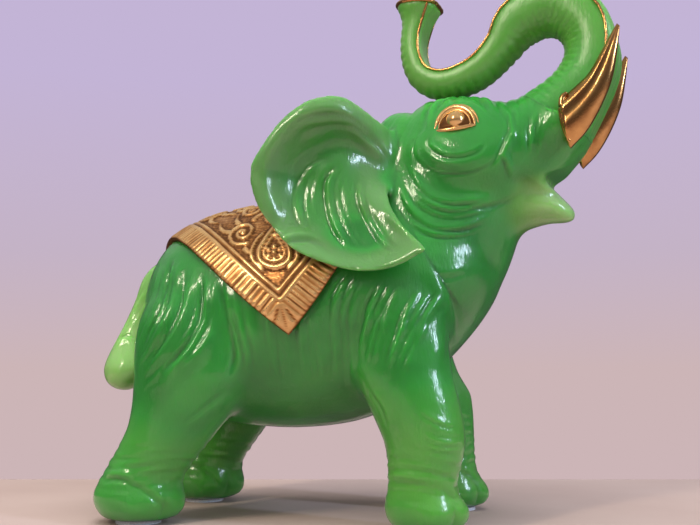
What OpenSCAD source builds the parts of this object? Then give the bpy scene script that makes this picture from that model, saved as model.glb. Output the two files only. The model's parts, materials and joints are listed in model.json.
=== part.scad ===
// Jade-green elephant figurine with a raised, looped trunk and gilt trimmings.
// Millimetres. +X runs towards the head, +Y to the animal's left, +Z up.
// The origin is on the floor, under the middle of the figurine.

/* [Stance] */
// Height of the belly above the floor
belly_height = 32.5; // [29:0.5:36]
// Distance from the origin back to the end of the rump
rump_setback = 84.5; // [81.5:0.5:87.5]
// Distance from the centre plane to the middle of each foot
foot_spread = 28.5; // [26:0.5:31]

/* [Torso] */
// Length of the torso from rump to chest
torso_length = 137; // [130:1:144]
// Depth of the torso from back to belly
torso_depth = 87; // [82:1:92]
// Width of the torso across the flanks
torso_width = 80; // [75:1:85]

/* [Rear legs] */
// Distance of the hip in front of the rump's end
hip_reach = 29.5; // [27:0.5:32]
// Distance of the hind foot behind the hip
hind_foot_back = 21; // [17:0.5:24]
// How much further forward the left hind foot stands
hind_stride = 2; // [0:0.5:6]
// Length of the thigh, front to back
thigh_length = 49; // [45:0.5:53]
// Width of the thigh, side to side
thigh_width = 32; // [29:0.5:34]
// Length of the hind ankle, front to back
hind_ankle_length = 30; // [27:0.5:33]
// Width of the hind ankle, side to side
hind_ankle_width = 26; // [23:0.5:28]
// Length of the hind foot, heel to toe
hind_foot_length = 35; // [32:0.5:38]

/* [Front legs] */
// Distance of the shoulder in front of the rump's end
shoulder_reach = 102.5; // [99:0.5:106]
// Distance of the front foot ahead of the shoulder
fore_foot_ahead = 9.5; // [6:0.5:13]
// How much further forward the left front foot stands
fore_stride = 3; // [0:0.5:6]
// How far back the left shoulder is drawn in the stride
shoulder_stagger = 6; // [2:0.5:8]
// Length of the shoulder, front to back
shoulder_length = 36; // [33:0.5:39]
// Width of the shoulder, side to side
shoulder_width = 29; // [26:0.5:31]
// Length of the front ankle, front to back
fore_ankle_length = 23.5; // [21:0.5:26]
// Width of the front ankle, side to side
fore_ankle_width = 23; // [21:0.5:25]
// Length of the front foot, heel to toe
fore_foot_length = 30; // [27:0.5:33]
// How much wider than the ankle each foot is
foot_flare = 3.5; // [2:0.5:5]

/* [Head] */
// Distance of the skull's middle in front of the rump's end
head_reach = 119; // [116:0.5:122]
// Height of the skull's middle above the back
head_rise = 10.5; // [8:0.5:13]
// Length of the head from nape to trunk root
head_length = 64.5; // [61:0.5:68]
// Depth of the head from forehead to jaw
head_depth = 51; // [48:0.5:54]
// Width of the head across the cheeks
head_width = 54; // [51:0.5:57]
// Turn of the head towards its right, in degrees
head_turn = 8; // [4:0.5:12]
// Lean of the glued neck face away from upright, in degrees
neck_lean = 31; // [26:1:35]
// How far the throat is filled out below the jaw
throat_fill = 6; // [3:0.5:8]

/* [Trunk] */
// Forward and backward reach of the trunk's loop
trunk_span = 67; // [64:0.5:70]
// Height of the trunk's tip above its root
trunk_rise = 49.5; // [47:0.5:53]
// Depth of the trunk at its root
trunk_root_depth = 28; // [26:0.5:30]
// Width of the trunk at its root
trunk_root_width = 34; // [32:0.5:36]
// Diameter of the gilt bead along the trunk's edges
trunk_bead = 1.2; // [0.9:0.1:1.6]

/* [Ears] */
// Height of each ear
ear_height = 63; // [58:0.5:67]
// Width of each ear, front to back
ear_width = 61; // [57:0.5:64]
// Thickness of each ear
ear_thickness = 3.6; // [3:0.1:4.4]
// Gap between the ear's rim and the flank
ear_gap = 6; // [5:0.5:9]

/* [Tusks] */
// Length of each tusk outside the lip
tusk_length = 40; // [36:0.5:44]
// Thickness of each tusk at the lip
tusk_root = 11; // [9.5:0.5:12]
// Half the distance between the tusks' tips
tusk_spread = 18.5; // [17.5:0.5:21]

/* [Eyes] */
// Diameter of each gilt eye
eye_size = 13; // [11:0.5:14]
// How far each eye stands proud of its seat
eye_bulge = 3.4; // [2.6:0.2:4.2]

/* [Tail] */
// Length of the tail from root to tuft
tail_length = 47.5; // [44:0.5:51]
// Thickness of the tail at its root
tail_root = 12; // [10:0.5:13]
// Thickness of the tuft
tuft_size = 18; // [15:0.5:20]

/* [Saddle cloth] */
// Thickness of the gilt cloth
cloth_thickness = 1.8; // [1.4:0.1:2.4]
// Angle down the flank that the cloth's corners reach
cloth_drop = 102; // [94:1:106]
// Width of the fringed border
fringe_width = 6; // [4.5:0.5:7.5]
// Height of the border's rib above the cloth
border_rib = 0.7; // [0.5:0.1:1]

/* [Foot pads] */
// Diameter of each stick-on pad
pad_diameter = 16; // [13:0.5:20]
// Thickness of each stick-on pad
pad_thickness = 1.2; // [0.8:0.1:2]

/* [Glue joints] */
// Diameter of the steel dowel in the neck
neck_dowel_diameter = 6; // [4:0.5:8]
// Length of the steel dowel in the neck
neck_dowel_length = 28; // [22:1:34]
// Diameter of the steel dowel in the trunk root
trunk_dowel_diameter = 4; // [3:0.5:5]
// Length of the steel dowel in the trunk root
trunk_dowel_length = 20; // [16:1:24]
// Diameter of the cast pegs on the ears and tail
peg_diameter = 5; // [4:0.5:6]
// Diameter of the cast pegs on the tusks
tusk_peg_diameter = 3; // [2.4:0.2:3.6]
// Radial room for glue round every peg and dowel
glue_gap = 0.1; // [0.05:0.05:0.3]

/* [Hidden] */

jade = "#4a8f3a";
gilt = "#c9a04a";
felt = "#e4e6ec";
steel = "#9aa0a6";
$fn = 32;

RIGHT = -1;
LEFT = 1;

// Heights and places that several castings share
rump_x = -rump_setback;
back_height = belly_height + torso_depth;
hip_x = rump_x + hip_reach;
shoulder_x = rump_x + shoulder_reach;
skull = [rump_x + head_reach, 0, back_height + head_rise];
sole = pad_thickness;

// Shares of torso length, back line, belly line and half width, from rump to chest
torso_shape = [
    [0.000, 0.50, 0.43, 0.08], [0.011, 0.62, 0.33, 0.30], [0.036, 0.74, 0.22, 0.53],
    [0.095, 0.85, 0.11, 0.78], [0.197, 0.92, 0.03, 0.93], [0.336, 0.96, 0.00, 0.99],
    [0.482, 0.99, 0.00, 1.00], [0.628, 1.00, 0.04, 0.97], [0.745, 1.00, 0.14, 0.91],
    [0.847, 0.96, 0.28, 0.80], [0.927, 0.88, 0.42, 0.62], [0.978, 0.76, 0.54, 0.36],
    [1.000, 0.67, 0.63, 0.08]];

// Shares of leg height, hip lean, limb swell and foot flare, from hip to sole
hind_leg_shape = [
    [0.96, 1.00, -1.20, 0], [0.93, 1.00, -0.20, 0], [0.87, 1.00, 0.50, 0], [0.78, 1.00, 0.88, 0],
    [0.66, 1.00, 1.00, 0], [0.52, 0.97, 0.86, 0], [0.37, 0.66, 0.27, 0], [0.25, 0.32, 0.08, 0],
    [0.15, 0.02, 0.00, 0], [0.085, 0, 0, 0.9], [0.035, 0, 0, 1.0], [0, 0, 0, 0.8]];
fore_leg_shape = [
    [1.00, 1.00, -0.60, 0], [0.95, 1.00, 0.45, 0], [0.82, 1.00, 0.95, 0], [0.62, 0.95, 0.92, 0],
    [0.45, 0.42, 0.68, 0], [0.31, 0.00, 0.35, 0], [0.21, 0.07, 0.08, 0], [0.14, 0.13, 0.00, 0],
    [0.08, 0, 0, 0.85], [0.035, 0, 0, 1.0], [0, 0, 0, 0.8]];

// Depth of the leg's top inside the torso, and how far the hip tucks in towards the spine
leg_top = belly_height + 0.7 * torso_depth;
hip_tuck = 11;

// Head sections from nape to trunk root: forward and upward shares of head length,
// then shares of half depth and half width
head_shape = [
    [-0.42, -0.10, 0.58, 0.52], [-0.22, -0.01, 0.90, 0.85], [0.00, 0.00, 1.00, 1.00],
    [0.22, 0.01, 0.94, 0.98], [0.40, 0.06, 0.80, 0.84], [0.53, 0.15, 0.64, 0.70],
    [0.60, 0.225, 0.55, 0.63]];
// Lower lip sections in the same shares
lip_shape = [
    [0.18, -0.28, 0.43, 0.63], [0.37, -0.285, 0.33, 0.48], [0.53, -0.25, 0.245, 0.37],
    [0.63, -0.262, 0.16, 0.25], [0.675, -0.285, 0.03, 0.08]];
// Trunk sections from root to tip: shares of trunk span and rise from the root,
// then shares of root half depth and root half width
trunk_shape = [
    [0.000, 0.00, 1.00, 1.00], [0.090, 0.145, 0.79, 0.86], [0.157, 0.285, 0.70, 0.76],
    [0.202, 0.49, 0.68, 0.70], [0.165, 0.70, 0.72, 0.66], [0.000, 0.855, 0.74, 0.62],
    [-0.190, 0.755, 0.68, 0.59], [-0.287, 0.575, 0.49, 0.54], [-0.418, 0.415, 0.43, 0.51],
    [-0.598, 0.345, 0.43, 0.47], [-0.730, 0.415, 0.40, 0.44], [-0.785, 0.555, 0.38, 0.42],
    [-0.795, 0.715, 0.37, 0.41], [-0.772, 0.875, 0.43, 0.42], [-0.760, 1.000, 0.62, 0.48]];
// Where the trunk's flat underside lies, as a share of half depth, and how square its edges are
underside = 0.9;
edge_squareness = 0.55;

// Ear outline from the root's top round the rim: shares of ear width and height from the skull
ear_outline = [
    [-0.32, 0.14], [-0.41, 0.24], [-0.63, 0.305], [-0.87, 0.205], [-1.03, 0.00], [-1.075, -0.16],
    [-1.00, -0.41], [-0.81, -0.585], [-0.56, -0.68], [-0.32, -0.715], [-0.075, -0.61],
    [-0.19, -0.445], [-0.255, -0.25], [-0.26, -0.05]];
// How far out each of those points flares, as a share of the rim's full flare
ear_flare = [0.25, 0.5, 0.85, 1.0, 1.02, 1.0, 0.98, 0.95, 0.92, 0.92, 0.95, 0.75, 0.45, 0.15];
// The ear's glued hub, in the same shares
ear_hub = [-0.31, -0.03];
ear_peg_start = 0.28 * ear_thickness;
ear_peg_length = 2.36 * ear_thickness;
ear_dish = 1.5;

// Tusk sections from socket to tip: forward and upward shares of tusk length, sideways share of
// the spread, thickness share, and slant of the section along the horn
tusk_shape = [
    [0.00, 0.00, 0.88, 1.00, 1.30], [0.11, 0.13, 0.92, 0.94, 0.90], [0.21, 0.265, 0.96, 0.84, 0.45],
    [0.35, 0.475, 1.00, 0.66, 0.10], [0.43, 0.645, 1.02, 0.40, 0], [0.47, 0.775, 1.00, 0.12, 0]];
tusk_flatness = 0.9;
tusk_peg_start = 0.14 * tusk_root;
tusk_peg_length = 0.82 * tusk_root;

// Tail sections: backward and downward shares of tail length, then thickness shares of the root
// and of the tuft
tail_shape = [
    [-0.16, -0.04, 0.90, 0.00], [0.03, 0.10, 0.95, 0.00], [0.095, 0.30, 0.85, 0.00],
    [0.17, 0.52, 0.80, 0.05], [0.19, 0.70, 0.45, 0.55], [0.195, 0.84, 0.00, 1.00],
    [0.19, 0.95, 0.00, 0.72], [0.185, 1.00, 0.00, 0.16]];
tail_swing = 12;

// Cloth outline along the torso's stations: rear point, hanging corner and front point
cloth_rear = 0.15;
cloth_corner = 0.50;
cloth_front = 0.76;
cloth_end_angle = 5;
cloth_bed = 1;

// Points along a smooth curve through a table of values, for t from 0 to 1
function between(a, b, c, d, t) =
    0.5 * (2 * b + (c - a) * t + (2 * a - 5 * b + 4 * c - d) * t * t + (3 * b - a - 3 * c + d) * t * t * t);
function along(table, t) =
    let (last = len(table) - 1, i = min(floor(t * last), last - 1))
    between(table[max(i - 1, 0)], table[i], table[i + 1], table[min(i + 2, last)], t * last - i);
function around(table, t) =
    let (n = len(table), i = floor(t * n))
    between(table[(i + n - 1) % n], table[i % n], table[(i + 1) % n], table[(i + 2) % n], t * n - i);

function unit(v) = v / norm(v);
function flatten(lists) = [for (l = lists) each l];
function middle(ring) = [for (k = [0 : 2]) [for (p = ring) p[k]] * [for (p = ring) 1] / len(ring)];

// A closed skin over a stack of rings with the same number of points, facing outward
// whichever way the rings run; a hoop joins its last ring to its first
module skin(rings, hoop = false) {
    n = len(rings[0]);
    m = len(rings);
    ends = hoop ? [] : [middle(rings[0]), middle(rings[m - 1])];
    points = concat(flatten(rings), ends);
    sides = flatten([for (j = [0 : hoop ? m - 1 : m - 2]) for (i = [0 : n - 1])
        let (a = j * n, b = (j + 1) % m * n, k = (i + 1) % n)
        [[a + i, a + k, b + k], [a + i, b + k, b + i]]]);
    caps = hoop ? [] : flatten([for (i = [0 : n - 1]) let (k = (i + 1) % n)
        [[n * m, k, i], [n * m + 1, (m - 1) * n + i, (m - 1) * n + k]]]);
    faces = concat(sides, caps);
    swept = [for (f = faces) cross(points[f[0]], points[f[1]]) * points[f[2]]] * [for (f = faces) 1];
    polyhedron(points = points, faces = swept > 0 ? [for (f = faces) [f[0], f[2], f[1]]] : faces);
}

// Freeform solids joined or cut as one triangulated solid, at their own size
module sculpted() resize([0, 0, 0]) union() children();

// Torso
function torso_station(t) = let (s = along(torso_shape, t)) [
    rump_x + s[0] * torso_length,
    belly_height + (s[1] + s[2]) / 2 * torso_depth,
    (s[1] - s[2]) / 2 * torso_depth,
    s[3] * torso_width / 2];
function torso_point(t, angle, lift = 0) =
    let (s = torso_station(t), out = unit([0, sin(angle) / s[3], cos(angle) / s[2]]))
    [s[0], s[3] * sin(angle), s[1] + s[2] * cos(angle)] + lift * out;
module torso(rings = 32, sides = 28) {
    skin([for (j = [0 : rings]) [for (i = [0 : sides - 1]) torso_point(j / rings, -360 * i / sides)]]);
}

// Legs: level ellipses from the hip down to a flat sole
function leg_ring(s, hip, foot, y, swell, ankle, flare, straight, sides) =
    let (x = foot + (hip - foot) * (straight ? max(s[0], s[1]) : s[1]),
         z = sole + (leg_top - sole) * s[0],
         half = (ankle + (swell - ankle) * s[2] + flare * s[3]) / 2,
         inward = hip_tuck * pow(s[0], 4))
    [for (i = [0 : sides - 1]) let (a = 360 * i / sides)
        [x + half[0] * cos(a), sign(y) * (abs(y) - inward) + half[1] * sin(a), z]];
module leg(shape, hip, foot, y, swell, ankle, flare, straight = false, rings = 18, sides = 20) {
    skin([for (j = [0 : rings])
        leg_ring(along(shape, j / rings), hip, foot, y, swell, ankle, flare, straight, sides)]);
}
function hind_foot_x(side) = hip_x - hind_foot_back + (side == LEFT ? hind_stride : 0);
function fore_foot_x(side) = shoulder_x + fore_foot_ahead + (side == LEFT ? fore_stride : 0);
module hind_leg(side) {
    leg(hind_leg_shape, hip_x, hind_foot_x(side), side * foot_spread, [thigh_length, thigh_width],
        [hind_ankle_length, hind_ankle_width], [hind_foot_length - hind_ankle_length, foot_flare]);
}
module fore_leg(side) {
    leg(fore_leg_shape, shoulder_x - (side == LEFT ? shoulder_stagger : 0), fore_foot_x(side),
        side * foot_spread, [shoulder_length, shoulder_width], [fore_ankle_length, fore_ankle_width],
        [fore_foot_length - fore_ankle_length, foot_flare], side == LEFT);
}

// Sections square to a path in the centre plane, from rows of x, z, half depth and half width
function path_direction(rows, t) =
    let (d = along(rows, min(t + 0.01, 1)) - along(rows, max(t - 0.01, 0))) unit([d[0], 0, d[1]]);
function path_ring(rows, t, sides, flat = 1, square = 1) =
    let (s = along(rows, t), d = path_direction(rows, t), up = [-d[2], 0, d[0]])
    [for (i = [0 : sides - 1]) let (a = 360 * i / sides, c = cos(a), v = sin(a),
            under = v < 0, depth = under ? flat * sign(v) * pow(abs(v), square) : v,
            width = under ? sign(c) * pow(abs(c), square) : c)
        [s[0], 0, s[1]] + up * depth * s[2] + [0, width * s[3], 0]];
module path_skin(rows, rings, sides, flat = 1, square = 1) {
    skin([for (j = [0 : rings]) path_ring(rows, j / rings, sides, flat, square)]);
}

// Neck, from inside the torso to inside the skull, filled out towards the throat
throat_way = [cos(neck_lean), 0, -sin(neck_lean)];
neck_root = [rump_x + 0.67 * torso_length, 0, belly_height + 0.57 * torso_depth];
neck_top = skull + throat_fill * throat_way;
neck_middle = (neck_root + skull) / 2 + 0.65 * throat_fill * throat_way;
neck_rows = [
    [neck_root[0], neck_root[2], 0.39 * torso_depth, 0.39 * torso_width],
    [neck_middle[0], neck_middle[2], 0.39 * torso_depth, 0.36 * torso_width],
    [neck_top[0], neck_top[2], 0.52 * head_depth, 0.46 * head_width]];
module neck() path_skin(neck_rows, 10, 24);

// Head and lower lip
function head_rows(shape) = [for (s = shape) [
    skull[0] + s[0] * head_length, skull[2] + s[1] * head_length,
    s[2] * head_depth / 2, s[3] * head_width / 2]];
root_row = head_rows(head_shape)[len(head_shape) - 1];
trunk_root = [root_row[0], 0, root_row[1]];
head_rows_to_root = concat(
    [for (i = [0 : len(head_shape) - 2]) head_rows(head_shape)[i]],
    [[root_row[0], root_row[1], trunk_root_depth / 2, trunk_root_width / 2]]);
module skull_mass() path_skin(head_rows_to_root, 24, 24);
module head_turned() translate(skull) rotate([0, 0, -head_turn]) translate(-skull) children();
module lower_lip() path_skin(head_rows(lip_shape), 12, 16);

// The glued neck face: a plane through the throat that leans back towards the withers
neck_face = [rump_x + 0.885 * torso_length, 0, belly_height + 0.545 * torso_depth];
neck_normal = [cos(neck_lean), 0, sin(neck_lean)];
neck_dowel_middle = neck_face + 0.31 * torso_depth * [-sin(neck_lean), 0, cos(neck_lean)];
far = 400;
module ahead_of_neck() {
    translate(neck_face) rotate([0, -neck_lean, 0]) translate([0, -far / 2, -far / 2]) cube(far);
}
module along_normal(place, normal) {
    translate(place) rotate([0, acos(normal[2]), atan2(normal[1], normal[0])]) children();
}

// Trunk: a D-shaped sweep whose flat underside faces out of the loop
trunk_rows = [for (s = trunk_shape) [
    trunk_root[0] + s[0] * trunk_span, trunk_root[2] + s[1] * trunk_rise,
    s[2] * trunk_root_depth / 2, s[3] * trunk_root_width / 2]];
trunk_normal = path_direction(trunk_rows, 0);
trunk_end = along(trunk_rows, 1);
trunk_tip = [trunk_end[0], 0, trunk_end[1]];
trunk_tip_normal = path_direction(trunk_rows, 1);
// The hollow of the nostrils: a ball that leaves a lip round the trunk's end
nostril_ball = 0.3 * trunk_root_width;
nostril_set = 0.8 * nostril_ball;
module trunk_sweep(rings = 48, sides = 20) {
    difference() {
        skin([for (j = [0 : rings]) trunk_ring(j / rings, sides)]);
        translate(trunk_tip + nostril_set * trunk_tip_normal) sphere(nostril_ball, $fn = 24);
    }
}
// The root matches the head's round end, and the underside flattens over the first tenth
function settled(t) = min(t / 0.1, 1);
function trunk_ring(t, sides) =
    path_ring(trunk_rows, t, sides,
              1 + (underside - 1) * settled(t), 1 + (edge_squareness - 1) * settled(t));

module green_mass() {
    torso();
    neck();
    head_turned() {
        skull_mass();
        lower_lip();
    }
    for (side = [RIGHT, LEFT]) {
        hind_leg(side);
        fore_leg(side);
    }
}

// Body casting: torso and legs, up to the glued neck face
module body() {
    color(jade) difference() {
        sculpted() difference() {
            green_mass();
            ahead_of_neck();
        }
        dowel_hole(neck_dowel_middle, neck_normal, neck_dowel_diameter, neck_dowel_length);
        tail_peg(glue_gap);
    }
}
module dowel_hole(place, normal, diameter, length) {
    along_normal(place, normal)
        cylinder(d = diameter + 2 * glue_gap, h = length + 2 * glue_gap, center = true);
}

// Head casting: neck, skull, cheeks and lower lip, with seats for all that is glued to it
module head_solid() {
    difference() {
        intersection() {
            green_mass();
            ahead_of_neck();
        }
        head_turned() trunk_sweep();
    }
}
module head() {
    color(jade) difference() {
        sculpted() head_solid();
        dowel_hole(neck_dowel_middle, neck_normal, neck_dowel_diameter, neck_dowel_length);
        head_turned() {
            dowel_hole(trunk_root, trunk_normal, trunk_dowel_diameter, trunk_dowel_length);
            for (side = [RIGHT, LEFT]) eye_seat(side, glue_gap);
        }
        for (side = [RIGHT, LEFT]) ear_peg(side, glue_gap);
    }
}
module trunk() {
    color(jade) head_turned() difference() {
        sculpted() trunk_sweep();
        dowel_hole(trunk_root, trunk_normal, trunk_dowel_diameter, trunk_dowel_length);
        for (side = [RIGHT, LEFT]) tusk_peg(side, glue_gap);
    }
}

// Ears: dished leaves that flare out from a hub glued to the head
rim_flare = torso_width / 2 + ear_gap + ear_thickness / 2;
hub_y = 0.83 * head_width / 2;
function ear_place(p, y, side) = skull + [p[0] * ear_width, 0, p[1] * ear_height] + [0, side * y, 0];
function ear_spot(t, rho, lift, side) =
    let (p = ear_hub + (around(ear_outline, t) - ear_hub) * rho,
         y = hub_y + (rim_flare - hub_y) * around(ear_flare, t) * pow(rho, ear_dish))
    ear_place(p, y + lift, side);
// Rings from the inner hub out to the rim and back over the outer face
function ear_rings(side, steps, sides) = [
    for (j = [0 : 2 * steps])
        let (inner = j < steps, rho = max(inner ? j / steps : (2 * steps - j) / steps, 0.04),
             lift = (j == steps ? 0 : (inner ? -1 : 1) * ear_thickness / 2 * sqrt(1 - pow(rho, 6) * 0.8)))
        [for (i = [0 : sides - 1]) ear_spot(i / sides, rho * (j == steps ? 1 : 0.985), lift, side)]];
module ear_leaf(side) {
    skin(ear_rings(side, 7, 28));
}
module ear_peg(side, gap = 0) {
    hub = ear_place(ear_hub, hub_y, side);
    translate(hub) rotate([side * 90, 0, 0]) translate([0, 0, -ear_peg_start - gap])
        cylinder(d = peg_diameter + 2 * gap, h = ear_peg_length + gap);
}
module ear(side) {
    color(jade) union() {
        sculpted() difference() {
            ear_leaf(side);
            green_mass();
            cloth_sheet(glue_gap);
        }
        ear_peg(side);
    }
}

// Tail: hangs off the rump and ends in a rounded tuft
tail_anchor = [rump_x + 2.5, 0, belly_height + 0.705 * torso_depth];
function tail_ring(t, sides) =
    let (s = along(tail_shape, t), e = 0.01,
         d = along(tail_shape, min(t + e, 1)) - along(tail_shape, max(t - e, 0)),
         dir = unit([-d[0], 0, -d[1]]), up = [-dir[2], 0, dir[0]],
         r = (s[2] * tail_root + s[3] * tuft_size) / 2,
         c = tail_anchor + [-s[0] * tail_length, -tail_swing * max(s[1], 0), -s[1] * tail_length])
    [for (i = [0 : sides - 1]) let (a = 360 * i / sides) c + up * r * sin(a) + [0, r * cos(a), 0]];
module tail_sweep(rings = 24, sides = 16) skin([for (j = [0 : rings]) tail_ring(j / rings, sides)]);
module tail_peg(gap = 0) {
    translate(tail_anchor) rotate([0, 90, 0]) translate([0, 0, -tail_root / 6])
        cylinder(d = peg_diameter + 2 * gap, h = 7 / 6 * tail_root + gap);
}
module tail() {
    color(jade) union() {
        sculpted() difference() {
            tail_sweep();
            green_mass();
            cloth_sheet(glue_gap);
        }
        tail_peg();
    }
}

// Saddle cloth: a kite-shaped sheet bedded on the back, with a ribbed border
function cloth_angle(t) = t < cloth_corner
    ? cloth_end_angle + (cloth_drop - cloth_end_angle) * (t - cloth_rear) / (cloth_corner - cloth_rear)
    : cloth_end_angle + (cloth_drop - cloth_end_angle) * (cloth_front - t) / (cloth_front - cloth_corner);
// The ribbed border's width along a section, where the edge slants across the torso
function border_angle(t) =
    let (end = t < cloth_corner ? cloth_rear : cloth_front,
         run = abs(torso_station(cloth_corner)[0] - torso_station(end)[0]),
         drop = (cloth_drop - cloth_end_angle) * PI / 360 * torso_width)
    fringe_width * sqrt(run * run + drop * drop) / run * 360 / (PI * torso_width);
// One section of the sheet: angle and height of each point across it, with the border raised
function cloth_section(t, across) =
    let (w = cloth_angle(t), inner = max(w - border_angle(t), 0.15 * w), rib = cloth_thickness + border_rib)
    concat([[-w, rib], [-inner, rib]],
           [for (i = [0 : across]) [0.96 * inner * (2 * i / across - 1), cloth_thickness]],
           [[inner, rib], [w, rib]]);
function cloth_ring(t, across, gap) =
    let (points = cloth_section(t, across), last = len(points) - 1)
    concat([for (p = points) torso_point(t, p[0], p[1] + gap)],
           [for (i = [last : -1 : 0]) torso_point(t, points[i][0], -cloth_bed)]);
module cloth_sheet(gap = 0, steps = 28, across = 20) {
    skin([for (j = [0 : steps])
        cloth_ring(cloth_rear + (cloth_front - cloth_rear) * j / steps, across, gap)]);
}
module saddle_cloth() {
    color(gilt) sculpted() difference() {
        cloth_sheet();
        green_mass();
    }
}

// Tusks: tapering horns along the sides of the trunk root
tusk_seat = trunk_root + [6, 0, -4];
function tusk_row(t, side) =
    let (s = along(tusk_shape, t))
    [tusk_seat + [s[0] * tusk_length, side * s[2] * tusk_spread, s[1] * tusk_length],
     s[3] * tusk_root / 2, s[4]];
function tusk_ring(t, side, sides) =
    let (s = tusk_row(t, side), e = 0.01,
         d = unit(tusk_row(min(t + e, 1), side)[0] - tusk_row(max(t - e, 0), side)[0]),
         across = unit(cross(d, [0, 1, 0])), out = cross(across, d))
    [for (i = [0 : sides - 1]) let (a = 360 * i / sides)
        s[0] + s[1] * ((across + s[2] * d) * cos(a) + out * sin(a) * tusk_flatness)];
module tusk_horn(side, rings = 16, sides = 14) {
    skin([for (j = [0 : rings]) tusk_ring(j / rings, side, sides)]);
}
module tusk_peg(side, gap = 0) {
    place = tusk_row(0.2, side)[0];
    translate(place) rotate([side * 90, 0, 0])
        translate([0, 0, -tusk_peg_start - gap])
            cylinder(d = tusk_peg_diameter + 2 * gap, h = tusk_peg_length + gap);
}
module tusk(side) {
    color(gilt) head_turned() union() {
        sculpted() difference() {
            tusk_horn(side);
            skull_mass();
            trunk_sweep();
        }
        tusk_peg(side);
    }
}

// Eyes: gilt half-moon domes in round seats
eye_t = 0.42;
eye_angle = 27;
eye_seat_depth = 2.5;
eye_stem = 0.7 * eye_size;
function eye_place(side) =
    let (s = along(head_rows_to_root, eye_t), d = path_direction(head_rows_to_root, eye_t),
         up = [-d[2], 0, d[0]])
    [s[0], 0, s[1]] + up * s[2] * sin(eye_angle) + [0, side * s[3] * cos(eye_angle), 0];
module eye_frame(side) {
    translate(eye_place(side)) rotate([side * -(90 - eye_angle * 0.8), 0, 0]) children();
}
module eye_seat(side, gap = 0) {
    eye_frame(side) translate([0, 0, -eye_seat_depth - gap])
        cylinder(d = eye_stem + 2 * gap, h = eye_size);
}
module eye(side) {
    dome = (pow(eye_size / 2, 2) + pow(eye_bulge, 2)) / (2 * eye_bulge);
    color(gilt) head_turned() eye_frame(side) union() {
        translate([0, 0, -eye_seat_depth]) cylinder(d = eye_stem, h = eye_seat_depth + eye_bulge / 4);
        intersection() {
            translate([0, 0, eye_bulge - dome]) sphere(dome);
            cylinder(d = eye_size, h = eye_bulge);
        }
    }
}

// Gilt beads along the two edges of the trunk's underside, and round its tip
bead_from = 0.2;
bead_to = 0.985;
bead_angle = 212;
function bead_spot(t, side) =
    let (ring = trunk_ring(t, 360)) ring[side == LEFT ? 540 - bead_angle : bead_angle];
module bead(points, hoop = false, sides = 6) {
    n = len(points);
    skin([for (j = [0 : n - 1])
        let (ahead = hoop ? (j + 1) % n : min(j + 1, n - 1),
             behind = hoop ? (j + n - 1) % n : max(j - 1, 0),
             d = unit(points[ahead] - points[behind]), u = unit(cross(d, [0.1, 1, 0.2])), v = cross(d, u))
        [for (i = [0 : sides - 1]) let (a = 360 * i / sides)
            points[j] + trunk_bead / 2 * (u * cos(a) + v * sin(a))]], hoop);
}
module trunk_bead_line(side, steps = 40) {
    color(gilt) head_turned() sculpted() difference() {
        bead([for (j = [0 : steps]) bead_spot(bead_from + (bead_to - bead_from) * j / steps, side)]);
        trunk_sweep();
    }
}
module trunk_tip_rim() {
    ring = trunk_ring(1, 24);
    color(gilt) head_turned() sculpted() difference() {
        bead(ring, true);
        trunk_sweep();
    }
}

module foot_pad(x, side) {
    color(felt) translate([x, side * foot_spread, 0]) cylinder(d = pad_diameter, h = pad_thickness);
}

module neck_dowel() {
    color(steel) along_normal(neck_dowel_middle, neck_normal)
        cylinder(d = neck_dowel_diameter, h = neck_dowel_length, center = true);
}
module trunk_dowel() {
    color(steel) head_turned() along_normal(trunk_root, trunk_normal)
        cylinder(d = trunk_dowel_diameter, h = trunk_dowel_length, center = true);
}

body();
head();
trunk();
ear(RIGHT);  // ear_right
ear(LEFT);  // ear_left
tail();
saddle_cloth();
tusk(RIGHT);  // tusk_right
tusk(LEFT);  // tusk_left
eye(RIGHT);  // eye_right
eye(LEFT);  // eye_left
trunk_bead_line(RIGHT);  // trunk_bead_right
trunk_bead_line(LEFT);  // trunk_bead_left
trunk_tip_rim();
foot_pad(fore_foot_x(RIGHT), RIGHT);  // foot_pad_front_right
foot_pad(fore_foot_x(LEFT), LEFT);  // foot_pad_front_left
foot_pad(hind_foot_x(RIGHT), RIGHT);  // foot_pad_rear_right
foot_pad(hind_foot_x(LEFT), LEFT);  // foot_pad_rear_left
neck_dowel();
trunk_dowel();
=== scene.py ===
"""Jade-green elephant figurine with gilt trimmings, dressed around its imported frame.

The green castings are copies of the frame's solids. They are grown into one skin, carved with the
folds of the hide, and parted again along their glue joints. The gilt pieces are laid on that skin.
Sizes in the classes are millimetres, and the meshes are metres.
"""

import json
import logging
import math
from dataclasses import dataclass
from enum import Enum

import bmesh
import bpy
import numpy as np
from mathutils import Matrix, Vector
from mathutils.bvhtree import BVHTree
from mathutils.kdtree import KDTree

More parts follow.
